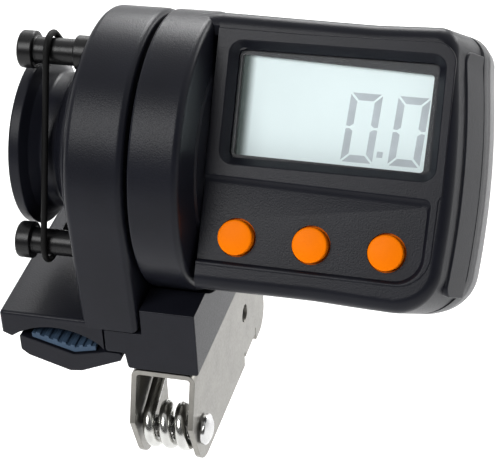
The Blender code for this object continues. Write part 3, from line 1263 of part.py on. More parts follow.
def build_rear_case():
    """Rear shell of the display with screw posts and the battery cup."""
    case = lean_side(case_blank("rear_case", 0, -CASE_BACK, CASE_BACK, BLACK_PLASTIC))
    soften(case, CASE_REAR_EDGE)
    front_cut = box("rear_trim", (CASE_LEFT - OVERRUN, -CASE_BACK - OVERRUN, -CASE_HALF_HEIGHT - OVERRUN),
                    (CASE_RIGHT + OVERRUN, PARTING_REAR, CASE_HALF_HEIGHT + OVERRUN), HEAD)
    hollow = lean_side(case_blank("rear_hollow", CASE_WALL, PARTING_REAR - OVERRUN, CASE_BACK - CASE_WALL))
    drum_gap = box("drum_side_gap", (CASE_LEFT - OVERRUN, PARTING_REAR - OVERRUN, -CASE_HALF_HEIGHT - OVERRUN),
                   (DRUM_RIGHT + GAP + CLOSE_GAP / 2, CASE_BACK + OVERRUN, CASE_HALF_HEIGHT + OVERRUN), HEAD)
    wire_way = box("rear_wire_way", (CASE_LEFT - OVERRUN, PARTING_REAR - OVERRUN, -WIRE_WAY_HALF_HEIGHT),
                   (CASE_LEFT + CASE_WALL + OVERRUN, WIRE_WAY_HALF_DEPTH, WIRE_WAY_HALF_HEIGHT), HEAD)
    cut(case, front_cut, hollow, drum_gap, wire_way)
    place = (CELL_X, 0, CELL_W)
    cup_front = cup_floor_back() - CUP_FLOOR
    cup = cylinder("battery_cup", CUP_RADIUS + CUP_WALL, cup_front, CASE_BACK - CASE_WALL / 2, "Y", HEAD,
                   location=place, sides=DRUM_SIDES // 2)
    join(case, cup)
    door_way = DOOR_RADIUS + GAP
    hollow_profile = ((0, CASE_BACK + OVERRUN), (door_way, CASE_BACK + OVERRUN), (door_way, door_low() - GAP),
                      (CUP_RADIUS, door_low() - GAP), (CUP_RADIUS, cup_floor_back()), (0, cup_floor_back()))
    cut(case, turned("cup_hollow", hollow_profile, "Y", HEAD, location=place, sides=DRUM_SIDES // 2))
    for x, w in screw_places():
        post = cylinder("rear_post", REAR_POST_RADIUS, PARTING_REAR + POST_SET_BACK, CASE_BACK - CASE_WALL / 2, "Y", HEAD,
                        location=(x, 0, w), sides=SMALL_SIDES)
        join(case, post)
    for index, (x, w) in enumerate(screw_places()):
        way = counterbore("rear_screw_way", PARTING_REAR - OVERRUN, case_screw_seat() - GAP, CASE_BACK + OVERRUN, "Y",
                          HEAD, (x, 0, w))
        cut(case, way)
        screw("case_screw_%d" % (index + 1), "Y", -1, case_screw_seat(), (x, 0, w), CASE_SCREW_LENGTH, HEAD)
    smooth(case, 30)


def door_low():
    """Return the depth of the battery door's inner face."""
    return CASE_BACK - DOOR_THICKNESS


def cell_back():
    """Return the depth of the coin cell's outer face."""
    return door_low() - GAP


def cup_floor_back():
    """Return the depth of the battery cup's floor."""
    return cell_back() - CELL_HEIGHT - GAP - CONTACT - GAP


def build_battery():
    """Coin cell, its two contacts and the coin-slot battery door."""
    place = (CELL_X, 0, CELL_W)
    cylinder("coin_cell", CELL_RADIUS, cell_back() - CELL_HEIGHT, cell_back(), "Y", HEAD, BRIGHT_STEEL, place)
    half = CONTACT_WIDTH / 2
    low = cup_floor_back() + GAP
    box("negative_contact", (CELL_X - CELL_RADIUS / 2, low, CELL_W - half),
        (CELL_X + CELL_RADIUS / 2, low + CONTACT, CELL_W + half), HEAD, BRONZE)
    side = CELL_X + CELL_RADIUS + GAP
    box("positive_contact", (side, low, CELL_W - half), (side + CONTACT, cell_back(), CELL_W + half), HEAD, BRONZE)
    door = cylinder("battery_door", DOOR_RADIUS, door_low(), CASE_BACK, "Y", HEAD, BLACK_PLASTIC, place,
                    DRUM_SIDES // 2)
    slot = box("coin_slot", (CELL_X - DOOR_SLOT_LENGTH / 2, CASE_BACK - DOOR_SLOT_DEPTH, CELL_W - DOOR_SLOT_WIDTH / 2),
               (CELL_X + DOOR_SLOT_LENGTH / 2, CASE_BACK + OVERRUN, CELL_W + DOOR_SLOT_WIDTH / 2), HEAD)
    cut(door, slot)


def board_back():
    """Return the depth of the circuit board's rear face."""
    return BOARD_FRONT + BOARD_THICKNESS


def build_electronics():
    """Lens, liquid crystal panel, its holder, circuit board, keypad and buttons."""
    lens_outline = recess_outline(-GAP)
    prism("display_lens", lens_outline, lens_front(), lens_front() + LENS_THICKNESS, "Y", HEAD, CLEAR)
    lcd_low = ledge_front() + LEDGE_THICKNESS + GAP
    lcd_high = lcd_low + LCD_THICKNESS
    box("lcd_panel", (LENS_LEFT + LCD_BORDER, lcd_low, LENS_BOTTOM + LCD_BORDER),
        (LENS_RIGHT - LCD_BORDER, lcd_high, LENS_TOP - LCD_BORDER), HEAD, LCD_GREY)
    box("lcd_holder", (LENS_LEFT, lcd_high + GAP, LENS_BOTTOM), (LENS_RIGHT, BOARD_FRONT - GAP, LENS_TOP), HEAD,
        WHITE_PLASTIC)
    box("circuit_board", (CASE_LEFT + BOARD_MARGIN, BOARD_FRONT, -BOARD_HALF_HEIGHT),
        (CASE_RIGHT - BOARD_RIGHT_MARGIN, board_back(), BOARD_HALF_HEIGHT), HEAD, BOARD_GREEN)
    sheet_front = BOARD_FRONT - GAP - KEYPAD_SHEET
    keypad = box("keypad", (BUTTON_XS[0] - KEYPAD_MARGIN, sheet_front, BUTTON_W - KEYPAD_HALF_HEIGHT),
                 (BUTTON_XS[-1] + KEYPAD_MARGIN, BOARD_FRONT - GAP, BUTTON_W + KEYPAD_HALF_HEIGHT), HEAD, BLACK_RUBBER)
    flange_front = CASE_FRONT + CASE_WALL + GAP
    flange_back = flange_front + BUTTON_FLANGE
    stem_back = flange_back + BUTTON_FLANGE
    dome_top = stem_back + BUTTON_TRAVEL + GAP
    for name, x in zip(BUTTON_NAMES, BUTTON_XS):
        dome = cylinder("keypad_dome", DOME_RADIUS, dome_top, sheet_front + KEYPAD_SHEET / 2, "Y", HEAD,
                        location=(x, 0, BUTTON_W), sides=SMALL_SIDES)
        join(keypad, dome)
        face = CASE_FRONT - BUTTON_PROUD
        profile = [(0, stem_back), (BUTTON_STEM_RADIUS, stem_back), (BUTTON_STEM_RADIUS, flange_back),
                   (BUTTON_FLANGE_RADIUS, flange_back), (BUTTON_FLANGE_RADIUS, flange_front),
                   (BUTTON_RADIUS, flange_front), (BUTTON_RADIUS, face + BUTTON_DOME),
                   (BUTTON_RADIUS - BUTTON_DOME, face), (BUTTON_RADIUS / 2, face - BUTTON_DOME / 2),
                   (0, face - BUTTON_DOME)]
        turned("button_" + name, profile, "Y", HEAD, ORANGE, (x, 0, BUTTON_W), sides=ROUND_SIDES)


build_bracket()
build_block()
build_upper_pad()
build_channel()
build_pins()
build_spring()
build_jaw_lever()
build_lower_jaw()
build_lower_pad()
build_posts()
build_line_band()
build_wheel()
build_swivel()
build_front_case()
build_rear_case()
build_battery()
build_electronics()
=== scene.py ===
"""Dress of a clip-on fishing line counter.

Every sub-assembly is a class that holds its sizes in millimetres and builds its
own meshes, either in the axle frame (X along the wheel's axle, Z up) or in the
display's frame, which is tilted back about that axle.
"""

from __future__ import annotations

import json
import logging
import math
from dataclasses import dataclass, field
from enum import Enum
from typing import Callable, Iterable, Optional, Sequence

import bmesh
import bpy
from mathutils import Matrix, Vector

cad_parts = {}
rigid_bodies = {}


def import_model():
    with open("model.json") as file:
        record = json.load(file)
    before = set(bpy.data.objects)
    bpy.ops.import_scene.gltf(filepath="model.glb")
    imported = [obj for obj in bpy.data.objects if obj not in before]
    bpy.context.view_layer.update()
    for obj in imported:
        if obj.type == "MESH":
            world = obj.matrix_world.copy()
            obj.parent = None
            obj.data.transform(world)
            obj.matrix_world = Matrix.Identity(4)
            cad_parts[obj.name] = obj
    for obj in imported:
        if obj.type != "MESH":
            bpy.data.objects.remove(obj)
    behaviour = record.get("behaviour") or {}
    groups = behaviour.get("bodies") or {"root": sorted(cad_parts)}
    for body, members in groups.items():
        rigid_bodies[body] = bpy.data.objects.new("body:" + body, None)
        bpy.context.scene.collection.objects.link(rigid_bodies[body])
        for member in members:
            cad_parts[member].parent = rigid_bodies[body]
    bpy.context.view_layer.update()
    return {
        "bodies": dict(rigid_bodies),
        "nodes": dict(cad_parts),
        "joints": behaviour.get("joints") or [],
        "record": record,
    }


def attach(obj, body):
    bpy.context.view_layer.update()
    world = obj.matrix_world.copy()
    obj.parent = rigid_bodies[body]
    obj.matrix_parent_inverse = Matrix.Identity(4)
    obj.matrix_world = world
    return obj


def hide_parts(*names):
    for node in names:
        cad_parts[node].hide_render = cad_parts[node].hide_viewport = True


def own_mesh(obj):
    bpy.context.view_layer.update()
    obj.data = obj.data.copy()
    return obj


LOG = logging.getLogger("line_counter")

MM = 0.001
TILT = 33.7
AXLE_FRAME = Matrix.Translation((0.0174, 0.0, 0.0297)) @ Matrix.Scale(MM, 4)
HEAD_FRAME = AXLE_FRAME @ Matrix.Rotation(math.radians(-TILT), 4, "X")

Point2 = tuple[float, float]
Corner = tuple[float, float, float]
Colour = tuple[float, float, float]

# The angle within which faces count as one plane, and how near two points are when they are welded.
FLAT = math.radians(0.01)
WELD = 1e-5
SEAM_WELD = 1e-4

# How far a cutter runs past its piece, the gap round a seated piece, and the radii of screw holes.
OVER = 1.2
GAP = 0.3
SCREW_HOLE = 1.3
HEAD_HOLE = 2.1

# Places and sizes that two sub-assemblies share; a point is (y, z) in the axle frame.
UPPER_POST: Point2 = (-4.5, 22.5)
LOWER_POST: Point2 = (-17.5, -14.0)
POST_RADIUS = 2.65
BOSS_RADIUS = 3.5
TENON = 1.4
TENON_DEPTH = 3.7
PIVOT: Point2 = (12.5, -48.8)
BLOCK_SCREW_X = -4.9
BLOCK_SCREW_YS = (-18.5, 18.5)
CHANNEL_SCREW_X = 4.15
CHANNEL_SCREW_YS = (-14.0, 16.5)
KEY_XS = (20.0, 34.73, 49.36)
KEY_W = -16.65


class Along(Enum):
    """The axis that a turned or extruded shape runs along."""

    X = Matrix(((0, 0, 1), (1, 0, 0), (0, 1, 0)))
    Y = Matrix(((1, 0, 0), (0, 0, 1), (0, 1, 0)))
    Z = Matrix(((1, 0, 0), (0, 1, 0), (0, 0, 1)))


class Join(Enum):
    """How one solid acts on another."""

    ADD = "UNION"
    CUT = "DIFFERENCE"
    KEEP_COMMON = "INTERSECT"


def rounded(corners: Sequence[Corner], closed: bool = True, steps: int = 6) -> list[Point2]:
    """Round the corners of an outline.

    Args:
        corners: Points as (first, second, radius).
        closed: Whether the last point joins the first.
        steps: Segments in each arc.

    Returns:
        The outline's points with an arc at each corner that has a radius.
    """
    points: list[Point2] = []
    count = len(corners)
    for index, (first, second, radius) in enumerate(corners):
        here = Vector((first, second))
        if radius <= 0 or (not closed and index in (0, count - 1)):
            points.append((first, second))
            continue
        before = Vector(corners[index - 1][:2]) - here
        after = Vector(corners[(index + 1) % count][:2]) - here
        reach = min(before.length, after.length) / 2
        before.normalize()
        after.normalize()
        half = before.angle(after) / 2
        if half > math.radians(89.5) or half < math.radians(1):
            points.append((first, second))
            continue
        run = min(radius / math.tan(half), reach)
        size = run * math.tan(half)
        centre = here + (before + after).normalized() * (size / math.sin(half))
        start = here + before * run - centre
        end = here + after * run - centre
        sweep = start.angle_signed(end)
        for step in range(steps + 1):
            turn = -sweep * step / steps
            spot = centre + Matrix.Rotation(turn, 2) @ start
            points.append((spot.x, spot.y))
    return points


def arc(centre: Point2, radius: float, start: float, end: float, steps: int) -> list[Point2]:
    """Return the points of an arc between two angles in degrees."""
    turns = [math.radians(start + (end - start) * step / steps) for step in range(steps + 1)]
    return [(centre[0] + radius * math.cos(turn), centre[1] + radius * math.sin(turn)) for turn in turns]


def plate(left: float, right: float, bottom: float, top: float, radius: float,
          steps: int = 8) -> list[Point2]:
    """Return a rectangle with round corners."""
    corners = [(right, top, radius), (left, top, radius), (left, bottom, radius), (right, bottom, radius)]
    return rounded(corners, steps=steps)


def share_along(value: float, start: float, run: float) -> float:
    """Return how far a value is along a stretch, held between 0 and 1."""
    return min(max((value - start) / run, 0.0), 1.0)


def bevel(work: bmesh.types.BMesh, edges: Sequence[bmesh.types.BMEdge], width: float, segments: int,
          clamp: bool = True) -> None:
    """Round some edges of a mesh."""
    bmesh.ops.bevel(work, geom=edges, offset=width, offset_type="OFFSET", segments=segments, profile=0.5,
                    affect="EDGES", clamp_overlap=clamp, material=-1)


class Solid:
    """A closed mesh that is shaped in millimetres before it is placed."""

    def __init__(self, work: bmesh.types.BMesh) -> None:
        """Keep the mesh under work."""
        self.work = work

    @classmethod
    def block(cls, low: Sequence[float], high: Sequence[float], edge: float = 0.0,
              segments: int = 3) -> "Solid":
        """Make a box between two corners, with its edges rounded by edge."""
        work = bmesh.new()
        bmesh.ops.create_cube(work, size=1.0)
        bmesh.ops.scale(work, vec=Vector(high) - Vector(low), verts=work.verts)
        bmesh.ops.translate(work, vec=(Vector(high) + Vector(low)) / 2, verts=work.verts)
        if edge > 0:
            bevel(work, work.edges[:], edge, segments)
        return cls(work)

    @classmethod
    def prism(cls, outline: Sequence[Point2], low: float, high: float, along: Along, edge: float = 0.0,
              segments: int = 3, ends: Optional[Sequence[float]] = None) -> "Solid":
        """Extrude an outline along an axis and round the rims of its ends.

        Args:
            outline: (y, z) along X, (x, z) along Y, (x, y) along Z.
            low: Where it begins.
            high: Where it ends.
            along: The axis it runs along.
            edge: Radius of the end rims.
            segments: Segments of that rounding.
            ends: The ends that are rounded, both by default.

        Returns:
            The solid.
        """
        work = bmesh.new()
        face = work.faces.new([work.verts.new((first, second, low)) for first, second in outline])
        grown = bmesh.ops.extrude_face_region(work, geom=[face])
        moved = [item for item in grown["geom"] if isinstance(item, bmesh.types.BMVert)]
        bmesh.ops.translate(work, vec=(0, 0, high - low), verts=moved)
        bmesh.ops.recalc_face_normals(work, faces=work.faces)
        if edge > 0:
            wanted = (low, high) if ends is None else ends
            rims = [item for item in work.edges
                    if any(all(abs(vert.co.z - place) < 1e-6 for vert in item.verts) for place in wanted)]
            bevel(work, rims, edge, segments)
        return cls(work).turn(along)

    @classmethod
    def loft(cls, rings: Sequence[Sequence[Vector]]) -> "Solid":
        """Skin a row of rings that have the same number of points, and close both ends."""
        work = bmesh.new()
        rows = [[work.verts.new(spot) for spot in ring] for ring in rings]
        count = len(rows[0])
        for near, far in zip(rows, rows[1:]):
            for index in range(count):
                after = (index + 1) % count
                work.faces.new((near[index], near[after], far[after], far[index]))
        work.faces.new(rows[0][::-1])
        work.faces.new(rows[-1])
        bmesh.ops.connect_verts_nonplanar(work, angle_limit=FLAT, faces=work.faces)
        bmesh.ops.recalc_face_normals(work, faces=work.faces)
        return cls(work)

    @classmethod
    def turned(cls, corners: Sequence[Corner], along: Along, centre: Sequence[float] = (0, 0, 0),
               closed: bool = False, steps: int = 96, arc_steps: int = 5) -> "Solid":
        """Spin a profile of (radius, place, corner radius) about an axis.

        Args:
            corners: The profile.
            along: The axis.
            centre: A point on the axis.
            closed: Whether the profile is a closed ring.
            steps: Segments of the spin.
            arc_steps: Segments of each rounded corner.

        Returns:
            The solid.
        """
        work = bmesh.new()
        profile = rounded(corners, closed, arc_steps)
        verts = [work.verts.new((radius, 0, place)) for radius, place in profile]
        pairs = list(zip(verts, verts[1:]))
        if closed:
            pairs.append((verts[-1], verts[0]))
        edges = [work.edges.new(pair) for pair in pairs]
        bmesh.ops.spin(work, geom=verts + edges, cent=(0, 0, 0), axis=(0, 0, 1), angle=2 * math.pi,
                       steps=steps, use_merge=True, use_duplicate=False)
        bmesh.ops.remove_doubles(work, verts=work.verts, dist=WELD)
        return cls(work).turn(along).move(centre)

    @classmethod
    def stepped(cls, radii: Sequence[float], places: Sequence[float], along: Along,
                centre: Sequence[float] = (0, 0, 0), steps: int = 48) -> "Solid":
        """Make a round bar in stretches of different thickness.

        Args:
            radii: The radius of each stretch.
            places: Where the stretches begin, and where the last one ends.
            along: The axis.
            centre: A point on the axis.
            steps: Segments of the spin.

        Returns:
            The solid.
        """
        corners: list[Corner] = [(0, places[0], 0)]
        for index, radius in enumerate(radii):
            corners += [(radius, places[index], 0), (radius, places[index + 1], 0)]
        corners.append((0, places[-1], 0))
        return cls.turned(corners, along, centre, steps=steps)

    @classmethod
    def bar(cls, radius: float, low: float, high: float, along: Along, centre: Sequence[float] = (0, 0, 0),
            steps: int = 48) -> "Solid":
        """Make a plain round bar between two places on an axis."""
        return cls.stepped((radius,), (low, high), along, centre, steps)

    @classmethod
    def swept(cls, route: Sequence[Vector], radius: float, cyclic: bool = False,
              fineness: int = 6) -> "Solid":
        """Sweep a round section along a route.

        Args:
            route: Points of the centre line.
            radius: Radius of the section.
            cyclic: Whether the route closes on itself.
            fineness: Resolution of the section.

        Returns:
            The solid.
        """
        curve = bpy.data.curves.new("route", "CURVE")
        curve.dimensions = "3D"
        curve.bevel_depth = radius
        curve.bevel_resolution = fineness
        curve.use_fill_caps = not cyclic
        spline = curve.splines.new("POLY")
        spline.points.add(len(route) - 1)
        for point, place in zip(spline.points, route):
            point.co = (*place, 1)
        spline.use_cyclic_u = cyclic
        guide = bpy.data.objects.new("route", curve)
        bpy.context.scene.collection.objects.link(guide)
        graph = bpy.context.evaluated_depsgraph_get()
        mesh = bpy.data.meshes.new_from_object(guide.evaluated_get(graph))
        bpy.data.objects.remove(guide, do_unlink=True)
        bpy.data.curves.remove(curve)
        work = bmesh.new()
        work.from_mesh(mesh)
        bpy.data.meshes.remove(mesh)
        bmesh.ops.remove_doubles(work, verts=work.verts, dist=WELD)
        bmesh.ops.recalc_face_normals(work, faces=work.faces)
        return cls(work)

    def turn(self, along: Along) -> "Solid":
        """Turn the shape from its own Z to an axis."""
        bmesh.ops.transform(self.work, matrix=along.value.to_4x4(), verts=self.work.verts)
        bmesh.ops.recalc_face_normals(self.work, faces=self.work.faces)
        return self

    def move(self, way: Sequence[float]) -> "Solid":
        """Shift the shape."""
        bmesh.ops.translate(self.work, vec=Vector(way), verts=self.work.verts)
        return self

    def copy(self) -> "Solid":
        """Return a copy of the shape."""
        return Solid(self.work.copy())

    def slice(self, places: Iterable[float], way: Sequence[float]) -> "Solid":
        """Add rows of points where planes across a direction meet the shape."""
        for place in places:
            everything = self.work.verts[:] + self.work.edges[:] + self.work.faces[:]
            bmesh.ops.bisect_plane(self.work, geom=everything, plane_co=Vector(way) * place,
                                   plane_no=Vector(way))
        return self

    def shift_where(self, wanted: Callable[[Vector], bool], change: Callable[[Vector], Vector]) -> "Solid":
        """Move the points that a test picks and split the faces that this bends."""
        for vert in self.work.verts:
            if wanted(vert.co):
                vert.co = change(vert.co)
        bmesh.ops.connect_verts_nonplanar(self.work, angle_limit=FLAT, faces=self.work.faces)
        return self

    def _object(self, name: str) -> bpy.types.Object:
        """Return a scene object that holds the mesh."""
        mesh = bpy.data.meshes.new(name)
        self.work.to_mesh(mesh)
        item = bpy.data.objects.new(name, mesh)
        bpy.context.scene.collection.objects.link(item)
        return item

    def combine(self, others: Iterable["Solid"], how: Join) -> "Solid":
        """Add, cut or intersect other solids, one after another."""
        host = self._object("host")
        tools = []
        for other in others:
            tool = other._object("tool")
            change = host.modifiers.new("change", "BOOLEAN")
            change.operation = how.value
            change.solver = "MANIFOLD"
            change.object = tool
            tools.append(tool)
        graph = bpy.context.evaluated_depsgraph_get()
        mesh = bpy.data.meshes.new_from_object(host.evaluated_get(graph))
        for item in [host, *tools]:
            used = item.data
            bpy.data.objects.remove(item, do_unlink=True)
            bpy.data.meshes.remove(used)
        self.work.clear()
        self.work.from_mesh(mesh)
        bpy.data.meshes.remove(mesh)
        bmesh.ops.remove_doubles(self.work, verts=self.work.verts, dist=SEAM_WELD)
        bmesh.ops.dissolve_limit(self.work, angle_limit=math.radians(0.3), verts=self.work.verts,
                                 edges=self.work.edges)
        return self

    def add(self, *others: "Solid") -> "Solid":
        """Join other solids to this one."""
        return self.combine(others, Join.ADD)

    def cut(self, *others: "Solid") -> "Solid":
        """Cut other solids out of this one."""
        return self.combine(others, Join.CUT)

    def soften(self, width: float, wanted: Optional[Callable[[Vector], bool]] = None,
               segments: int = 2, angle: float = 40.0) -> "Solid":
        """Round the sharp edges.

        Args:
            width: Width of the rounding.
            wanted: Test of an edge's middle; all edges without it.
            segments: Segments of the rounding.
            angle: The least angle between two faces that counts as sharp.

        Returns:
            The same solid.
        """
        limit = math.radians(angle)
        sharp = [edge for edge in self.work.edges
                 if len(edge.link_faces) == 2 and edge.calc_face_angle(0.0) > limit
                 and (wanted is None or wanted((edge.verts[0].co + edge.verts[1].co) / 2))]
        bevel(self.work, sharp, width, segments, clamp=False)
        return self

    def place(self, name: str, frame: Matrix, finish: "Finish", body: str, nodes: Sequence[str] = (),
              slot: Optional[str] = None, sharp: float = 32.0) -> bpy.types.Object:
        """Place the solid as a finished piece.

        Args:
            name: The piece's name.
            frame: The frame it was shaped in.
            finish: Its surface.
            body: The body it rides on.
            nodes: The plain solids it stands for.
            slot: Not used.
            sharp: Angle above which an edge is shaded sharp.

        Returns:
            The finished object.
        """
        bmesh.ops.transform(self.work, matrix=frame, verts=self.work.verts)
        bmesh.ops.dissolve_degenerate(self.work, dist=1e-8, edges=self.work.edges)
        bmesh.ops.recalc_face_normals(self.work, faces=self.work.faces)
        item = self._object(name)
        self.work.free()
        item.data.shade_smooth()
        item.data.set_sharp_from_angle(angle=math.radians(sharp))
        weighted = item.modifiers.new("even_shading", "WEIGHTED_NORMAL")
        weighted.keep_sharp = True
        weighted.weight = 80
        item.data.materials.append(finish.material())
        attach(item, body)
        if nodes:
            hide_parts(*nodes)
        LOG.info("%s: %d faces on %s", name, len(item.data.polygons), body)
        return item


@dataclass(frozen=True)
class Finish:
    """A surface whose colour and roughness vary a little over the piece.

    Lengths are in millimetres.
    """

    name: str
    colour: Colour
    roughness: float
    metallic: float = 0.0
    grain: float = 0.35
    grain_depth: float = 0.02
    cloud: float = 9.0
    cloud_share: float = 0.12
    roughness_share: float = 0.12
    specular: float = 0.5
    coat: float = 0.0
    coat_roughness: float = 0.1
    alpha: float = 1.0

    def _shader(self, material: bpy.types.Material) -> bpy.types.Node:
        """Return the material's principled shader with its plain values set."""
        material.use_nodes = True
        shader = material.node_tree.nodes["Principled BSDF"]
        shader.inputs["Metallic"].default_value = self.metallic
        shader.inputs["Specular IOR Level"].default_value = self.specular
        shader.inputs["Coat Weight"].default_value = self.coat
        shader.inputs["Coat Roughness"].default_value = self.coat_roughness
        shader.inputs["Alpha"].default_value = self.alpha
        return shader

    def _noise(self, tree: bpy.types.NodeTree, size: float, detail: float) -> bpy.types.Node:
        """Return a noise pattern with features of about that size in millimetres."""
        place = tree.nodes.new("ShaderNodeTexCoord")
        noise = tree.nodes.new("ShaderNodeTexNoise")
        noise.inputs["Scale"].default_value = 1.0 / (size * MM)
        noise.inputs["Detail"].default_value = detail
        tree.links.new(place.outputs["Object"], noise.inputs["Vector"])
        return noise

    def _range(self, tree: bpy.types.NodeTree, source: bpy.types.NodeSocket, low: float,
               high: float) -> bpy.types.Node:
        """Return a node that spreads a noise's middle values between low and high."""
        spread = tree.nodes.new("ShaderNodeMapRange")
        spread.inputs["From Min"].default_value = 0.3
        spread.inputs["From Max"].default_value = 0.7
        spread.inputs["To Min"].default_value = low
        spread.inputs["To Max"].default_value = high
        tree.links.new(source, spread.inputs["Value"])
        return spread

    def material(self) -> bpy.types.Material:
        """Return the finish's material, made once."""
        found = bpy.data.materials.get(self.name)
        if found:
            return found
        material = bpy.data.materials.new(self.name)
        shader = self._shader(material)
        tree = material.node_tree
        clouds = self._noise(tree, self.cloud, 4.0)
        grain = self._noise(tree, self.grain, 2.0)
        tint = tree.nodes.new("ShaderNodeMix")
        tint.data_type = "RGBA"
        darker = [value * (1 - self.cloud_share) for value in self.colour]
        lighter = [min(value * (1 + self.cloud_share), 1.0) for value in self.colour]
        tint.inputs["A"].default_value = (*darker, 1.0)
        tint.inputs["B"].default_value = (*lighter, 1.0)
        share = self._range(tree, clouds.outputs["Fac"], 0.0, 1.0)
        tree.links.new(share.outputs["Result"], tint.inputs["Factor"])
        tree.links.new(tint.outputs["Result"], shader.inputs["Base Color"])
        self._dress(tree, shader, tint, grain)
        rough = self._range(tree, grain.outputs["Fac"], self.roughness * (1 - self.roughness_share),
                            self.roughness * (1 + self.roughness_share))
        tree.links.new(rough.outputs["Result"], shader.inputs["Roughness"])
        bump = tree.nodes.new("ShaderNodeBump")
        bump.inputs["Strength"].default_value = 1.0
        bump.inputs["Distance"].default_value = self.grain_depth * MM
        tree.links.new(grain.outputs["Fac"], bump.inputs["Height"])
        tree.links.new(bump.outputs["Normal"], shader.inputs["Normal"])
        return material

    def _dress(self, tree: bpy.types.NodeTree, shader: bpy.types.Node, tint: bpy.types.Node,
               grain: bpy.types.Node) -> None:
        """Add what a special finish needs; a plain one needs nothing."""


@dataclass(frozen=True)
class TumbledSteel(Finish):
    """Sheet steel with the cloudy grey of tumbling and fine dark pits."""

    pit: float = 0.9
    pit_colour: Colour = (0.20, 0.193, 0.18)

    def _dress(self, tree: bpy.types.NodeTree, shader: bpy.types.Node, tint: bpy.types.Node,
               grain: bpy.types.Node) -> None:
        """Mix the pits into the colour."""
        pits = self._noise(tree, self.pit, 5.0)
        share = self._range(tree, pits.outputs["Fac"], 0.0, 0.42)
        mix = tree.nodes.new("ShaderNodeMix")
        mix.data_type = "RGBA"
        mix.inputs["B"].default_value = (*self.pit_colour, 1.0)
        tree.links.new(share.outputs["Result"], mix.inputs["Factor"])
        tree.links.new(tint.outputs["Result"], mix.inputs["A"])
        tree.links.new(mix.outputs["Result"], shader.inputs["Base Color"])


@dataclass(frozen=True)
class Crystal(Finish):
    """Pale liquid crystal panel with a painted shadow of the bezel that darkens its left edge."""

    # The dark band at the left edge is painted shadow of the bezel, not a colour of the panel.
    bezel_shadow_start: float = 35.2
    bezel_shadow_end: float = 37.4
    bezel_shadow_colour: Colour = (0.035, 0.06, 0.055)

    def _dress(self, tree: bpy.types.NodeTree, shader: bpy.types.Node, tint: bpy.types.Node,
               grain: bpy.types.Node) -> None:
        """Mix the painted shadow of the bezel in along X."""
        place = tree.nodes.new("ShaderNodeTexCoord")
        split = tree.nodes.new("ShaderNodeSeparateXYZ")
        tree.links.new(place.outputs["Object"], split.inputs["Vector"])
        spread = tree.nodes.new("ShaderNodeMapRange")
        spread.interpolation_type = "SMOOTHSTEP"
        spread.inputs["From Min"].default_value = self.bezel_shadow_start * MM
        spread.inputs["From Max"].default_value = self.bezel_shadow_end * MM
        tree.links.new(split.outputs["X"], spread.inputs["Value"])
        mix = tree.nodes.new("ShaderNodeMix")
        mix.data_type = "RGBA"
        mix.inputs["A"].default_value = (*self.bezel_shadow_colour, 1.0)
        tree.links.new(spread.outputs["Result"], mix.inputs["Factor"])
        tree.links.new(tint.outputs["Result"], mix.inputs["B"])
        tree.links.new(mix.outputs["Result"], shader.inputs["Base Color"])


BLACK_SHELL = Finish("fine_black_shell", (0.0085, 0.0091, 0.0135), 0.34, grain=0.30, grain_depth=0.030,
                     specular=0.15)
SMOOTH_BLACK = Finish("smooth_black", (0.006, 0.006, 0.0065), 0.30, grain=0.5, grain_depth=0.0015,
                      specular=0.26)
SHEET_STEEL = TumbledSteel("tumbled_steel", (0.262, 0.254, 0.233), 0.36, 1.0, grain=0.5, grain_depth=0.012,
                           cloud=6.0)
BRIGHT_WIRE = Finish("bright_wire", (0.55, 0.55, 0.53), 0.20, 1.0, grain=0.8, grain_depth=0.003, cloud=3.0)
PIN_STEEL = Finish("pin_steel", (0.58, 0.58, 0.58), 0.20, 1.0, grain=0.6, grain_depth=0.004, cloud=3.0)
SCREW_STEEL = Finish("screw_steel", (0.52, 0.52, 0.51), 0.30, 1.0, grain=0.5, grain_depth=0.005, cloud=2.0)
BLUE_PAD = Finish("blue_pad_rubber", (0.040, 0.070, 0.115), 0.62, specular=0.25, grain=0.4,
                  grain_depth=0.02, cloud=5.0)
BAND_RUBBER = Finish("band_rubber", (0.006, 0.006, 0.006), 0.55, specular=0.12, grain=0.3,
                     grain_depth=0.01, cloud=4.0)
ORANGE_KEY = Finish("orange_key", (0.98, 0.205, 0.001), 0.36, grain=0.6, grain_depth=0.004, cloud=4.0,
                    cloud_share=0.04, specular=0.03)
# The panel's dark left edge is painted shadow of the bezel.
PALE_CRYSTAL = Crystal("pale_crystal", (0.83, 0.96, 0.97), 0.34, specular=0.1, grain=0.7, grain_depth=0.0,
                       cloud=14.0, cloud_share=0.02)
DIGIT_INK = Finish("digit_ink", (0.40, 0.46, 0.50), 0.40, grain=0.6, grain_depth=0.0, cloud=4.0)
CLEAR_WINDOW = Finish("clear_window", (0.85, 0.92, 0.92), 0.04, grain=2.0, grain_depth=0.0, cloud=12.0,
                      alpha=0.02, specular=0.1)
BOARD_GREEN = Finish("board_green", (0.02, 0.13, 0.06), 0.42, grain=0.6, grain_depth=0.01, cloud=3.0)
BRONZE = Finish("sintered_bronze", (0.58, 0.36, 0.16), 0.34, 1.0, grain=0.3, grain_depth=0.01, cloud=2.0)
MAGNET_GREY = Finish("magnet_grey", (0.40, 0.41, 0.43), 0.28, 1.0, grain=0.4, grain_depth=0.004, cloud=2.0)
WHITE_PLASTIC = Finish("natural_white", (0.62, 0.62, 0.60), 0.50, grain=0.5, grain_depth=0.006, cloud=5.0)


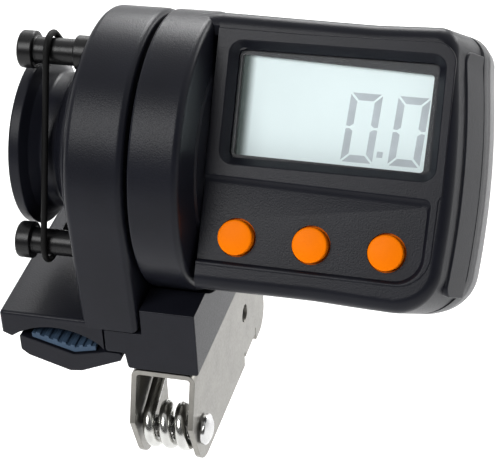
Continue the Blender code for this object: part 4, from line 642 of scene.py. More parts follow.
@dataclass
class Screw:
    """Pan-head screw with a cross recess."""

    name: str
    node: str
    body: str
    along: Along
    sign: int
    seat: float
    at: tuple[float, float, float]
    length: float
    frame: Matrix
    head: float = 1.8
    head_height: float = 1.2
    shaft: float = 1.0
    recess: float = 0.8
    recess_depth: float = 0.6
    recess_width: float = 0.42
    recess_over: float = 0.2
    thread_pitch: float = 0.7
    thread_depth: float = 0.12
    thread_start: float = 0.5
    crown_share: float = 0.9
    rim_share: float = 0.35

    def build(self) -> None:
        """Turn the head and the threaded shaft, cut the recess and place the screw."""
        tip = self.length
        root = self.shaft - self.thread_depth
        corners: list[Corner] = [
            (0, -self.head_height, 0), (self.head * self.crown_share, -self.head_height, 0.5),
            (self.head, -self.head_height * self.rim_share, 0.3), (self.head, 0, 0), (self.shaft, 0, 0)]
        place = self.thread_start
        while place + self.thread_pitch < tip - self.shaft:
            corners += [(root, place, 0), (self.shaft, place + self.thread_pitch / 2, 0)]
            place += self.thread_pitch
        corners += [(root, tip - self.shaft, 0), (0, tip, 0)]
        body = Solid.turned(corners, Along.Z, steps=36, arc_steps=4)
        top = -self.head_height - self.recess_over
        floor = -self.head_height + self.recess_depth
        for turn in (0.0, 90.0):
            groove = Solid.block((-self.recess, -self.recess_width / 2, top),
                                 (self.recess, self.recess_width / 2, floor))
            bmesh.ops.rotate(groove.work, cent=(0, 0, 0), matrix=Matrix.Rotation(math.radians(turn), 3, "Z"),
                             verts=groove.work.verts)
            body.cut(groove)
        if self.sign < 0:
            bmesh.ops.scale(body.work, vec=(1, 1, -1), verts=body.work.verts)
        body.turn(self.along)
        body.move([self.seat if axis is self.along else 0 for axis in Along]).move(self.at)
        body.place(self.name, self.frame, SCREW_STEEL, self.body, (self.node,), "steel_sheet")


@dataclass
class RodStand:
    """Ring housing, column and rod saddle in one moulding, with the saddle's pad."""

    ring: float = 28.3
    foot_half: float = 26.1
    left: float = -11.7
    right: float = 0.35
    edge: float = 1.5
    web_left: float = -9.2
    web_right: float = -6.7
    wheel_pocket: float = 20.3
    sensor_pocket: float = 23.4
    collar: float = 23.0
    collar_reach: float = 2.2
    spigot: float = 7.0
    spigot_bore: float = 3.5
    axle_bore: float = 1.8
    spigot_end: float = 5.9
    clip_low: float = 4.45
    clip: float = 0.6
    groove: float = 0.9
    column_bottom: float = -28.1
    wing_left: float = -29.0
    wing_right: float = -7.5
    wing_top: float = -26.6
    wing_tip: float = -32.0
    wing_bottom: float = -33.3
    wing_half: float = 26.0
    wing_edge: float = 0.7
    wing_spread: Point2 = (0.6, 2.0)
    arch_x: float = -17.7
    arch_z: float = -45.0
    arch: float = 15.8
    arch_left: float = -27.7
    arch_right: float = -8.3
    pad_x: float = -17.4
    pad_z: float = -29.7
    pad_width: float = 7.0
    pad_length: float = 48.0
    pad_height: float = 1.5
    screw_hole_top: float = -22.4

    def _ring(self) -> Solid:
        """Return the ring on its column."""
        reach = math.hypot(self.foot_half, self.column_bottom)
        tangent = math.degrees(math.atan2(self.column_bottom, self.foot_half) + math.acos(self.ring / reach))
        outline = [(-self.foot_half, self.column_bottom), (self.foot_half, self.column_bottom)]
        outline += arc((0, 0), self.ring, tangent, 180 - tangent, 128)
        return Solid.prism(outline, self.left, self.right, Along.X, self.edge, 4)

    def _saddle(self) -> Solid:
        """Return the arched wing that sits on the rod."""
        centre = (self.arch_x, self.arch_z)
        start = math.degrees(math.acos((self.arch_right - self.arch_x) / self.arch))
        end = math.degrees(math.acos((self.arch_left - self.arch_x) / self.arch))
        corners: list[Corner] = [(self.wing_left, self.wing_tip, 0), (self.wing_left, self.wing_top, 0.8),
                                 (self.wing_right, self.wing_top, 0), (self.wing_right, self.wing_bottom, 0)]
        outline = rounded(corners + [(x, z, 0) for x, z in arc(centre, self.arch, start, end, 36)])
        saddle = Solid.prism(outline, -self.wing_half, self.wing_half, Along.Y)
        tip = self.arch_left - 0.5

        def on_end(spot: Vector) -> bool:
            """Tell whether an edge lies on an end of the wing and away from the arch."""
            return abs(spot.y) > self.wing_half - 0.01 and (spot.x < tip or spot.z > self.pad_z + 2)

        def spread(spot: Vector) -> Vector:
            """Return a point of the tip after the tip flares towards the rear."""
            front, rear = self.wing_spread
            return spot - Vector((front + rear * (spot.y + self.wing_half) / (2 * self.wing_half), 0, 0))

        return saddle.soften(self.wing_edge, on_end, 4).shift_where(lambda spot: spot.x < tip, spread)

    def _collar(self) -> Solid:
        """Return the collar round the wheel's right flange, notched for the posts."""
        low = self.left - self.collar_reach
        corners: list[Corner] = [(0, low, 0), (self.collar, low, 0.5), (self.collar, self.web_left, 0),
                                 (0, self.web_left, 0)]
        notches = [Solid.bar(radius + GAP, low - OVER, self.left + OVER, Along.X, (0, *post))
                   for post, radius in ((UPPER_POST, BOSS_RADIUS), (LOWER_POST, POST_RADIUS))]
        return Solid.turned(corners, Along.X, steps=120).cut(*notches)

    def _pockets(self) -> list[Solid]:
        """Return the cutters of the wheel's pocket and of the sensor's pocket."""
        low, high = self.left - self.collar_reach - OVER, self.right + OVER
        wheel = Solid.turned([(0, low, 0), (self.wheel_pocket, low, 0),
                              (self.wheel_pocket, self.web_left, 0.4), (0, self.web_left, 0)],
                             Along.X, steps=120)
        sensor = Solid.turned([(0, self.web_right, 0), (self.sensor_pocket, self.web_right, 0.4),
                               (self.sensor_pocket, high, 0), (0, high, 0)], Along.X, steps=120)
        return [wheel, sensor]

    def _spigot(self) -> Solid:
        """Return the spigot that the display turns on, with the groove for its clip."""
        throat, root = self.spigot - self.groove, self.web_left + OVER
        low, high = self.clip_low - GAP, self.clip_low + self.clip + GAP
        return Solid.turned([(0, self.spigot_end, 0), (self.spigot, self.spigot_end, 0.3),
                             (self.spigot, high, 0), (throat, high, 0), (throat, low, 0),
                             (self.spigot, low, 0), (self.spigot, root, 0), (0, root, 0)], Along.X, steps=72)

    def _holes(self) -> list[Solid]:
        """Return the cutters of the axle's bore, the pad's slot and the holes for posts and screws."""
        places = (self.spigot_end + OVER, self.web_right + OVER + GAP, self.web_left - OVER)
        bore = Solid.stepped((self.spigot_bore, self.axle_bore), places, Along.X)
        half_width, half_length = self.pad_width / 2 + GAP, self.pad_length / 2 + GAP
        slot = Solid.block((self.pad_x - half_width, -half_length, self.pad_z - OVER),
                           (self.pad_x + half_width, half_length, self.pad_z + self.pad_height + GAP))
        sockets = [Solid.bar(TENON + GAP, self.left - OVER, self.left + TENON_DEPTH, Along.X, (0, *post), 40)
                   for post in (UPPER_POST, LOWER_POST)]
        ways = [Solid.bar(SCREW_HOLE, self.column_bottom - OVER, self.screw_hole_top, Along.Z,
                          (BLOCK_SCREW_X, y, 0), 40) for y in BLOCK_SCREW_YS]
        return [bore, slot, *sockets, *ways]

    def build(self) -> None:
        """Build and place the moulding and its pad."""
        body = self._ring().add(self._saddle(), self._collar())
        body.cut(*self._pockets()).add(self._spigot()).cut(*self._holes())
        body.place("stand_shell", AXLE_FRAME, BLACK_SHELL, "stand", ("bracket",), "black_plastic")
        half_width, half_length = self.pad_width / 2, self.pad_length / 2
        pad = Solid.block((self.pad_x - half_width, -half_length, self.pad_z),
                          (self.pad_x + half_width, half_length, self.pad_z + self.pad_height), 0.3)
        pad.place("saddle_pad", AXLE_FRAME, BLUE_PAD, "stand", ("upper_pad",), "blue_rubber")


@dataclass
class ClampBlock:
    """Block under the column and the drum, with its screws."""

    left: float = -7.2
    right: float = 12.2
    step: float = 0.8
    top: float = -22.5
    step_top: float = -28.4
    lug_bottom: float = -33.6
    lip_right: float = -3.2
    foot_left: float = -2.7
    bottom: float = -37.3
    half: float = 26.0
    edge: float = 0.6
    cradle: float = 28.6
    cradle_left: float = 0.35
    screw_seat: float = -32.2
    screw_length: float = 9.5
    channel_screw_seat: float = -39.1
    channel_screw_length: float = 7.0
    channel_hole_top: float = -31.8

    def build(self) -> None:
        """Build and place the block and the four screws."""
        edge = self.edge
        outline = rounded([(self.left, self.step_top, 0), (self.left, self.lug_bottom, edge),
                           (self.lip_right, self.lug_bottom, 0.3), (self.foot_left, self.bottom, edge),
                           (self.right, self.bottom, edge), (self.right, self.top, 0),
                           (self.step, self.top, 0), (self.step, self.step_top, 0)])
        block = Solid.prism(outline, -self.half, self.half, Along.Y, edge, 4)
        cradle = Solid.bar(self.cradle, self.cradle_left, self.right + OVER, Along.X, steps=160)
        ways = [Solid.stepped((HEAD_HOLE, SCREW_HOLE),
                              (self.lug_bottom - OVER, self.screw_seat + GAP, self.step_top + OVER), Along.Z,
                              (BLOCK_SCREW_X, y, 0), 40) for y in BLOCK_SCREW_YS]
        ways += [Solid.bar(SCREW_HOLE, self.bottom - OVER, self.channel_hole_top, Along.Z,
                           (CHANNEL_SCREW_X, y, 0), 32) for y in CHANNEL_SCREW_YS]
        block.cut(cradle, *ways)
        block.place("block_shell", AXLE_FRAME, BLACK_SHELL, "stand", ("clamp_block",), "black_plastic")
        for index, y in enumerate(BLOCK_SCREW_YS):
            Screw(f"block_fixing_{index + 1}", f"block_screw_{index + 1}", "stand", Along.Z, 1,
                  self.screw_seat, (BLOCK_SCREW_X, y, 0), self.screw_length, AXLE_FRAME).build()
        for index, y in enumerate(CHANNEL_SCREW_YS):
            Screw(f"channel_fixing_{index + 1}", f"channel_screw_{index + 1}", "stand", Along.Z, 1,
                  self.channel_screw_seat, (CHANNEL_SCREW_X, y, 0), self.channel_screw_length,
                  AXLE_FRAME).build()


@dataclass
class ClampChannel:
    """Folded steel channel with its pins and the torsion spring."""

    sheet: float = 1.2
    left: float = -2.3
    right: float = 11.3
    bend: float = 1.8
    web_top: float = -37.6
    bottom: float = -62.2
    front: float = -25.9
    nose: Point2 = (-29.5, -48.7)
    chin: Point2 = (-20.2, -55.2)
    chin_radius: float = 6.5
    heel: Point2 = (23.6, -57.0)
    heel_radius: float = 5.2
    rear: float = 28.8
    edge: float = 0.16
    pivot_hole: float = 2.05
    pivot_radius: float = 1.75
    pivot_inset: float = 0.8
    spring_pin: Point2 = (-23.2, -53.1)
    pin_hole: float = 2.0
    pin: float = 1.7
    pin_head: float = 3.3
    pin_rim: float = 0.95
    pin_crown: float = 1.75
    pin_dome: float = 1.95
    rivet: float = 2.6
    rivet_height: float = 0.7
    window: Point2 = (-8.0, 3.0)
    window_top: float = -38.95
    tab: Point2 = (11.2, 20.2)
    tab_reach: float = 4.4
    tab_rise: float = 2.1
    slit: float = 0.6
    slit_rise: float = 1.4
    wire: float = 1.3
    coil: float = 3.8
    pitch: float = 3.4
    coil_start: float = 0.4
    leg_rise: float = 22.3
    coil_end: float = 990.0
    leg_foot: float = 5.2
    leg_bend: float = 6.0
    leg_top: float = -42.3
    reaction_y: float = 15.0
    reaction_z: float = -57.45

    def _section(self) -> list[Point2]:
        """Return the folded sheet's section."""
        low = self.bottom - OVER
        inner = self.bend - self.sheet
        shoulder = self.web_top - self.bend
        points = [(self.left, low)]
        points += arc((self.left + self.bend, shoulder), self.bend, 180, 90, 10)
        points += arc((self.right - self.bend, shoulder), self.bend, 90, 0, 10)
        points += [(self.right, low), (self.right - self.sheet, low)]
        points += arc((self.right - self.bend, shoulder), inner, 0, 90, 8)
        points += arc((self.left + self.bend, shoulder), inner, 90, 180, 8)
        points.append((self.left + self.sheet, low))
        return points

    def _side_view(self) -> list[Point2]:
        """Return the plates' outline."""
        high = self.web_top + OVER
        points: list[Point2] = [(self.front, high), (self.front, self.web_top - self.bend), self.nose]
        points += arc(self.chin, self.chin_radius, 200, 270, 20)
        points += arc(self.heel, self.heel_radius, 270, 360, 24)
        points.append((self.rear, high))
        return points

    def _hole(self, radius: float, at: Point2) -> Solid:
        """Return a round cutter through both plates."""
        return Solid.bar(radius, self.left - OVER, self.right + OVER, Along.X, (0, *at))

    def _channel(self) -> Solid:
        """Return the folded channel."""
        left_in, right_in = self.left + self.sheet, self.right - self.sheet
        left_out, right_out = self.left - OVER, self.right + OVER
        channel = Solid.prism(self._section(), self.nose[0] - OVER, self.rear + OVER, Along.Y)
        channel.combine([Solid.prism(self._side_view(), left_out, right_out, Along.X)], Join.KEEP_COMMON)
        tab_front, tab_rear = self.tab
        raised = self.bottom + self.tab_rise
        cutters = [Solid.block((left_out, self.window[0], self.bottom - OVER),
                               (left_in + OVER, self.window[1], self.window_top)),
                   Solid.block((left_in + OVER, tab_front - self.slit, self.bottom - OVER),
                               (right_out, tab_rear + self.slit, raised)),
                   self._hole(self.pivot_hole, PIVOT), self._hole(self.pin_hole, self.spring_pin)]
        cutters += [Solid.bar(SCREW_HOLE, self.web_top - self.sheet - OVER, self.web_top + OVER, Along.Z,
                              (CHANNEL_SCREW_X, y, 0), 32) for y in CHANNEL_SCREW_YS]
        channel.cut(*cutters)
        channel.add(Solid.block((right_in - self.tab_reach, tab_front, raised),
                                (self.right - self.sheet / 2, tab_rear, raised + self.sheet)))
        slits = [Solid.block((left_in + OVER, y, self.bottom),
                             (right_out, y + self.slit, raised + self.slit_rise))
                 for y in (tab_front - self.slit, tab_rear)]
        return channel.cut(*slits).soften(self.edge, angle=50)

    def spring_route(self, fineness: int = 56) -> list[Vector]:
        """Return the torsion spring's centre line, from the lever's foot to the tab."""
        rise = math.radians(self.leg_rise)
        start = 90.0 + self.leg_rise
        centre = Vector((0, *self.spring_pin))

        def on_coil(angle: float) -> Vector:
            """Return the coil's point at an angle."""
            turn = math.radians(angle)
            x = self.coil_start + self.pitch * (angle - start) / 360.0
            return centre + Vector((x, self.coil * math.cos(turn), self.coil * math.sin(turn)))

        first = on_coil(start)
        heel_y = first.y + (self.leg_top - first.z) / math.tan(rise)
        heel = Vector((first.x, heel_y, self.leg_top))
        foot = Vector((first.x, heel_y + self.leg_foot, self.leg_top))
        corners = [(foot.y, foot.z, 0), (heel.y, heel.z, self.leg_bend), (first.y, first.z, 0)]
        route = [Vector((first.x, y, z)) for y, z in rounded(corners, closed=False, steps=12)[:-1]]
        route += [route[-1].lerp(first, step / 8) for step in range(1, 8)]
        turns = (self.coil_end - start) / 360.0
        count = round(turns * fineness)
        route += [on_coil(start + 360.0 * turns * step / count) for step in range(count + 1)]
        end = Vector((route[-1].x, self.reaction_y, self.reaction_z))
        last = route[-1]
        return route + [last.lerp(end, step / 12) for step in range(1, 13)]

    def build(self) -> None:
        """Build and place the channel, both pins and the spring."""
        channel = self._channel()
        channel.place("channel_plates", AXLE_FRAME, SHEET_STEEL, "stand", ("clamp_channel",), "steel_sheet")
        head, rivet = self.right + GAP, self.left - GAP
        corners: list[Corner] = [
            (0, head + self.pin_dome, 0), (self.pin_head * 0.55, head + self.pin_crown, 3.0),
            (self.pin_head, head + self.pin_rim, 0.5), (self.pin_head, head, 0.15), (self.pin, head, 0),
            (self.pin, rivet, 0), (self.rivet, rivet, 0.1), (self.rivet, rivet - self.rivet_height, 0.45),
            (0, rivet - self.rivet_height, 0)]
        pin = Solid.turned(corners, Along.X, (0, *self.spring_pin), steps=80, arc_steps=10)
        pin.place("spring_arbor", AXLE_FRAME, PIN_STEEL, "stand", ("spring_pin",), "bright_steel", sharp=60)
        low, high, radius = self.left + self.pivot_inset, self.right - self.pivot_inset, self.pivot_radius
        pivot = Solid.turned([(0, low, 0), (radius, low, 0.25), (radius, high, 0.25), (0, high, 0)], Along.X,
                             (0, *PIVOT), steps=48)
        pivot.place("pivot_arbor", AXLE_FRAME, PIN_STEEL, "stand", ("pivot_pin",), "steel_sheet")
        spring = Solid.swept(self.spring_route(), self.wire, fineness=7)
        wound = spring.place("wound_spring", AXLE_FRAME, BRIGHT_WIRE, "stand", ("torsion_spring",),
                             "bright_steel", sharp=60)
        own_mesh(wound)


@dataclass
class ClampJaw:
    """Steel lever, lower jaw and its ribbed pad, with the screws that hold the jaw."""

    top: float = -39.1
    sheet: float = 1.6
    left: float = -0.9
    right: float = 9.5
    front: float = -5.2
    tongue_left: float = -12.0
    tongue_rear: float = 2.4
    ear: float = 4.4
    ear_sheet: float = 1.4
    ear_front: float = 4.0
    ear_hole: float = 2.0
    tail_start: Point2 = (12.8, -51.8)
    tail_end: Point2 = (31.0, -54.5)
    tail_sheet: float = 1.4
    tip_drop: float = 2.6
    tip_reach: float = 1.6
    screw_xs: tuple[float, ...] = (-9.9, -6.3)
    screw_y: float = -1.4
    screw_length: float = 3.0
    screw_head: float = 1.6
    edge: float = 0.16
    screw_hole_top: float = -37.7
    boss_left: float = -11.8
    boss_right: float = -4.4
    boss_top: float = -36.2
    jaw_front: float = -26.0
    jaw_rear: float = 8.0
    underside: tuple[Corner, ...] = (
        (-25.8, -32.1, 0.35), (-25.8, -35.7, 0.6), (-24.2, -37.0, 0.9), (-15.5, -39.8, 1.5),
        (-12.9, -39.5, 1.5), (-3.9, -35.6, 0.9), (-3.9, -33.95, 0.5))
    valley: Point2 = (-14.2, -35.5)
    lip: Point2 = (-25.0, -32.3)
    shelf: Point2 = (-7.4, -33.95)
    pad_left: float = -23.2
    pad_right: float = -9.5
    pad_front: float = -25.5
    pad_rear: float = 4.6
    pad_height: float = 1.1
    rib: float = 0.5
    ribs: int = 7

    def _valley(self, x: float) -> float:
        """Return the height of the jaw's hollow at x."""
        start, end = (self.lip, self.valley) if x < self.valley[0] else (self.valley, self.shelf)
        return start[1] + (end[1] - start[1]) * (x - start[0]) / (end[0] - start[0])

    def _lever(self) -> Solid:
        """Return the steel lever."""
        low = self.top - self.sheet
        corners: list[Corner] = [(self.tongue_left, self.front, 1.0), (self.right, self.front, 1.0),
                                 (self.right, PIVOT[0], 0), (self.left, PIVOT[0], 0),
                                 (self.left, self.tongue_rear, 0.6),
                                 (self.tongue_left, self.tongue_rear, 1.0)]
        lever = Solid.prism(rounded(corners), low, self.top, Along.Z)
        middle = self.top - self.sheet / 2
        ear = [(self.ear_front, middle), (PIVOT[0] - self.sheet / 2, middle)]
        ear += arc(PIVOT, self.ear, 40, -180, 40)
        ears = [Solid.prism(ear, place, place + self.ear_sheet, Along.X)
                for place in (self.left, self.right - self.ear_sheet)]
        start, end = Vector(self.tail_start), Vector(self.tail_end)
        tip = end + Vector((self.tip_reach, -self.tip_drop))
        down = Vector((0, -self.tail_sheet))
        tail = [(*start, 0), (*(start + down), 0), (*(end + down), 2.0), (*(tip + down / 2), 0.3),
                (*(tip + Vector((self.tail_sheet, 0))), 0.3),
                (*(end + Vector((self.tail_sheet / 2, 0))), 2.5)]
        lever.add(*ears, Solid.prism(rounded(tail), self.left, self.right, Along.X))
        holes = [Solid.bar(self.ear_hole, self.left - OVER, self.right + OVER, Along.X, (0, *PIVOT))]
        holes += [Solid.bar(SCREW_HOLE, low - OVER, self.top + OVER, Along.Z, (x, self.screw_y, 0), 32)
                  for x in self.screw_xs]
        return lever.cut(*holes).soften(self.edge, angle=50)

    def _jaw(self) -> Solid:
        """Return the plastic lower jaw."""
        corners = [*self.underside, (*self.shelf, 0.2), (*self.valley, 1.2), (*self.lip, 0.2)]
        jaw = Solid.prism(rounded(corners), self.jaw_front, self.jaw_rear, Along.Y, 0.5, 4)
        boss = Solid.block((self.boss_left, self.front, self.top + GAP),
                           (self.boss_right, self.tongue_rear, self.boss_top))
        holes = [Solid.bar(SCREW_HOLE, self.top - OVER, self.screw_hole_top, Along.Z,
                           (x, self.screw_y, 0), 32) for x in self.screw_xs]
        return jaw.add(boss).cut(*holes)

    def _pad(self) -> Solid:
        """Return the ribbed rubber pad."""
        below: list[Corner] = [(x, self._valley(x) + GAP, 0)
                               for x in (self.pad_left, self.valley[0], self.pad_right)]
        above: list[Corner] = []
        count = 2 * self.ribs + 1
        width = (self.pad_right - self.pad_left) / count
        for index in range(count):
            raised = index % 2 == 1
            rise = self.pad_height + (self.rib if raised else 0)
            for edge in (index, index + 1):
                x = self.pad_left + width * edge
                above.append((x, self._valley(x) + GAP + rise, 0.2 if raised else 0.1))
        outline = rounded(below + above[::-1], steps=4)
        return Solid.prism(outline, self.pad_front, self.pad_rear, Along.Y, 0.08, 2)

    def build(self) -> None:
        """Build and place the lever, the jaw, its pad and its screws."""
        self._lever().place("lever_plate", AXLE_FRAME, SHEET_STEEL, "jaw", ("jaw_lever",), "steel_sheet")
        self._jaw().place("jaw_shell", AXLE_FRAME, BLACK_SHELL, "jaw", ("lower_jaw",), "black_plastic")
        self._pad().place("jaw_pad", AXLE_FRAME, BLUE_PAD, "jaw", ("lower_pad",), "blue_rubber")
        seat = self.top - self.sheet - GAP
        for index, x in enumerate(self.screw_xs):
            Screw(f"jaw_fixing_{index + 1}", f"jaw_screw_{index + 1}", "jaw", Along.Z, 1, seat,
                  (x, self.screw_y, 0), self.screw_length, AXLE_FRAME, head=self.screw_head).build()


@dataclass
class LineGuide:
    """Two guide posts and the rubber band looped round them and the wheel's groove."""

    shoulder: float = -12.0
    tip: float = -26.4
    neck: float = -23.3
    head: float = 3.75
    boss_end: float = -14.8
    band_x: float = -20.0
    band_steps: int = 240
    cord: float = 0.65
    groove: float = 13.9
    posts: tuple[tuple[str, str, Point2, float], ...] = (
        ("upper_post", "guide_post_top", UPPER_POST, BOSS_RADIUS),
        ("lower_post", "guide_post_bottom", LOWER_POST, 0.0))

    def _post(self, centre: Point2, boss: float) -> Solid:
        """Return a post with its tenon, its head and, if it has one, its boss."""
        root = self.shoulder + TENON_DEPTH
        corners: list[Corner] = [(0, root, 0), (TENON, root, 0.2), (TENON, self.shoulder, 0)]
        if boss:
            corners += [(boss, self.shoulder, 0), (boss, self.boss_end, 0.35),
                        (POST_RADIUS, self.boss_end, 0.2)]
        else:
            corners.append((POST_RADIUS, self.shoulder, 0))
        corners += [(POST_RADIUS, self.neck, 0.3), (self.head, self.neck, 0.25), (self.head, self.tip, 0.55),
                    (self.head * 0.55, self.tip, 0), (0, self.tip, 0)]
        return Solid.turned(corners, Along.X, (0, *centre), steps=96, arc_steps=8)

    def _band(self) -> Solid:
        """Return the band, stretched round both posts and the wheel's groove."""
        reach = GAP + self.cord
        rounds = [(Vector(UPPER_POST), POST_RADIUS + reach), (Vector(LOWER_POST), POST_RADIUS + reach),
                  (Vector((0, 0)), self.groove + reach)]
        route = []
        for step in range(self.band_steps):
            angle = 2 * math.pi * step / self.band_steps
            way = Vector((math.cos(angle), math.sin(angle)))
            centre, radius = max(rounds, key=lambda item: item[0].dot(way) + item[1])
            spot = centre + way * radius
            route.append(Vector((self.band_x, spot.x, spot.y)))
        return Solid.swept(route, self.cord, cyclic=True)

    def build(self) -> None:
        """Build and place the posts and the band."""
        for name, node, centre, boss in self.posts:
            post = self._post(centre, boss)
            post.place(name, AXLE_FRAME, SMOOTH_BLACK, "stand", (node,), "satin_plastic")
        band = self._band()
        band.place("looped_band", AXLE_FRAME, BAND_RUBBER, "stand", ("line_band",), "black_rubber", sharp=80)


@dataclass
class CountingWheel:
    """Grooved wheel with its cap."""

    rim: float = 17.8
    outer: float = -27.0
    rim_width: float = 2.3
    right_flange: float = 19.0
    right: float = -12.6
    flange: float = 1.7
    groove: float = 13.9
    groove_left: float = -21.6
    groove_right: float = -18.4
    bell: float = 11.2
    bell_depth: float = -16.5
    hub: float = 6.2
    hub_left: float = -24.1
    hub_right: float = -10.3
    nose: float = 5.5
    bore: float = 3.3
    cap: float = 11.9
    cap_seat: float = -25.7
    cap_height: float = 1.2
    cap_rim: float = 1.6
    cap_dish: float = 1.9
    magnet_circle: float = 14.8
    magnet: float = 1.8
    magnet_length: float = 2.6

    def build(self) -> None:
        """Build and place the wheel and the cap."""
        rim_in = self.outer + self.rim_width
        right_in = self.right - self.flange
        corners: list[Corner] = [
            (self.bore, self.hub_right, 0), (self.nose, self.hub_right, 0.3), (self.nose, self.right, 0),
            (self.right_flange, self.right, 0.4), (self.right_flange, right_in, 0.4),
            (self.rim, right_in - self.flange, 0.8), (self.groove, self.groove_right, 1.2),
            (self.groove, self.groove_left, 1.2),
            (self.groove + self.flange, rim_in + self.rim_width / 2, 0.8),
            (self.rim, rim_in, 0.4), (self.rim, self.outer, 0.5), (self.cap + GAP, self.outer, 0.2),
            (self.cap + GAP, self.cap_seat, 0), (self.bell, self.cap_seat, 0),
            (self.bell, self.bell_depth, 0), (self.hub, self.bell_depth, 0), (self.hub, self.hub_left, 0.2),
            (self.bore, self.hub_left, 0)]
        wheel = Solid.turned(corners, Along.X, closed=True, steps=144)
        pockets = [Solid.bar(self.magnet + GAP, self.right - self.magnet_length - 2 * GAP, self.right + OVER,
                             Along.X, (0, side * self.magnet_circle, 0), 32) for side in (-1, 1)]
        wheel.cut(*pockets)
        wheel.place("wheel_shell", AXLE_FRAME, BLACK_SHELL, "wheel", ("counting_wheel",), "black_plastic")
        high = self.cap_seat - GAP
        low = high - self.cap_height
        cap = Solid.turned([(0, high, 0), (self.cap, high, 0), (self.cap, low, 0.35),
                            (self.cap - self.cap_rim, low, 0.1), (self.cap - self.cap_dish, low + GAP, 0.1),
                            (0, low + GAP, 0)], Along.X, steps=120)
        cap.place("wheel_cover", AXLE_FRAME, SMOOTH_BLACK, "wheel", ("wheel_cap",), "satin_plastic")


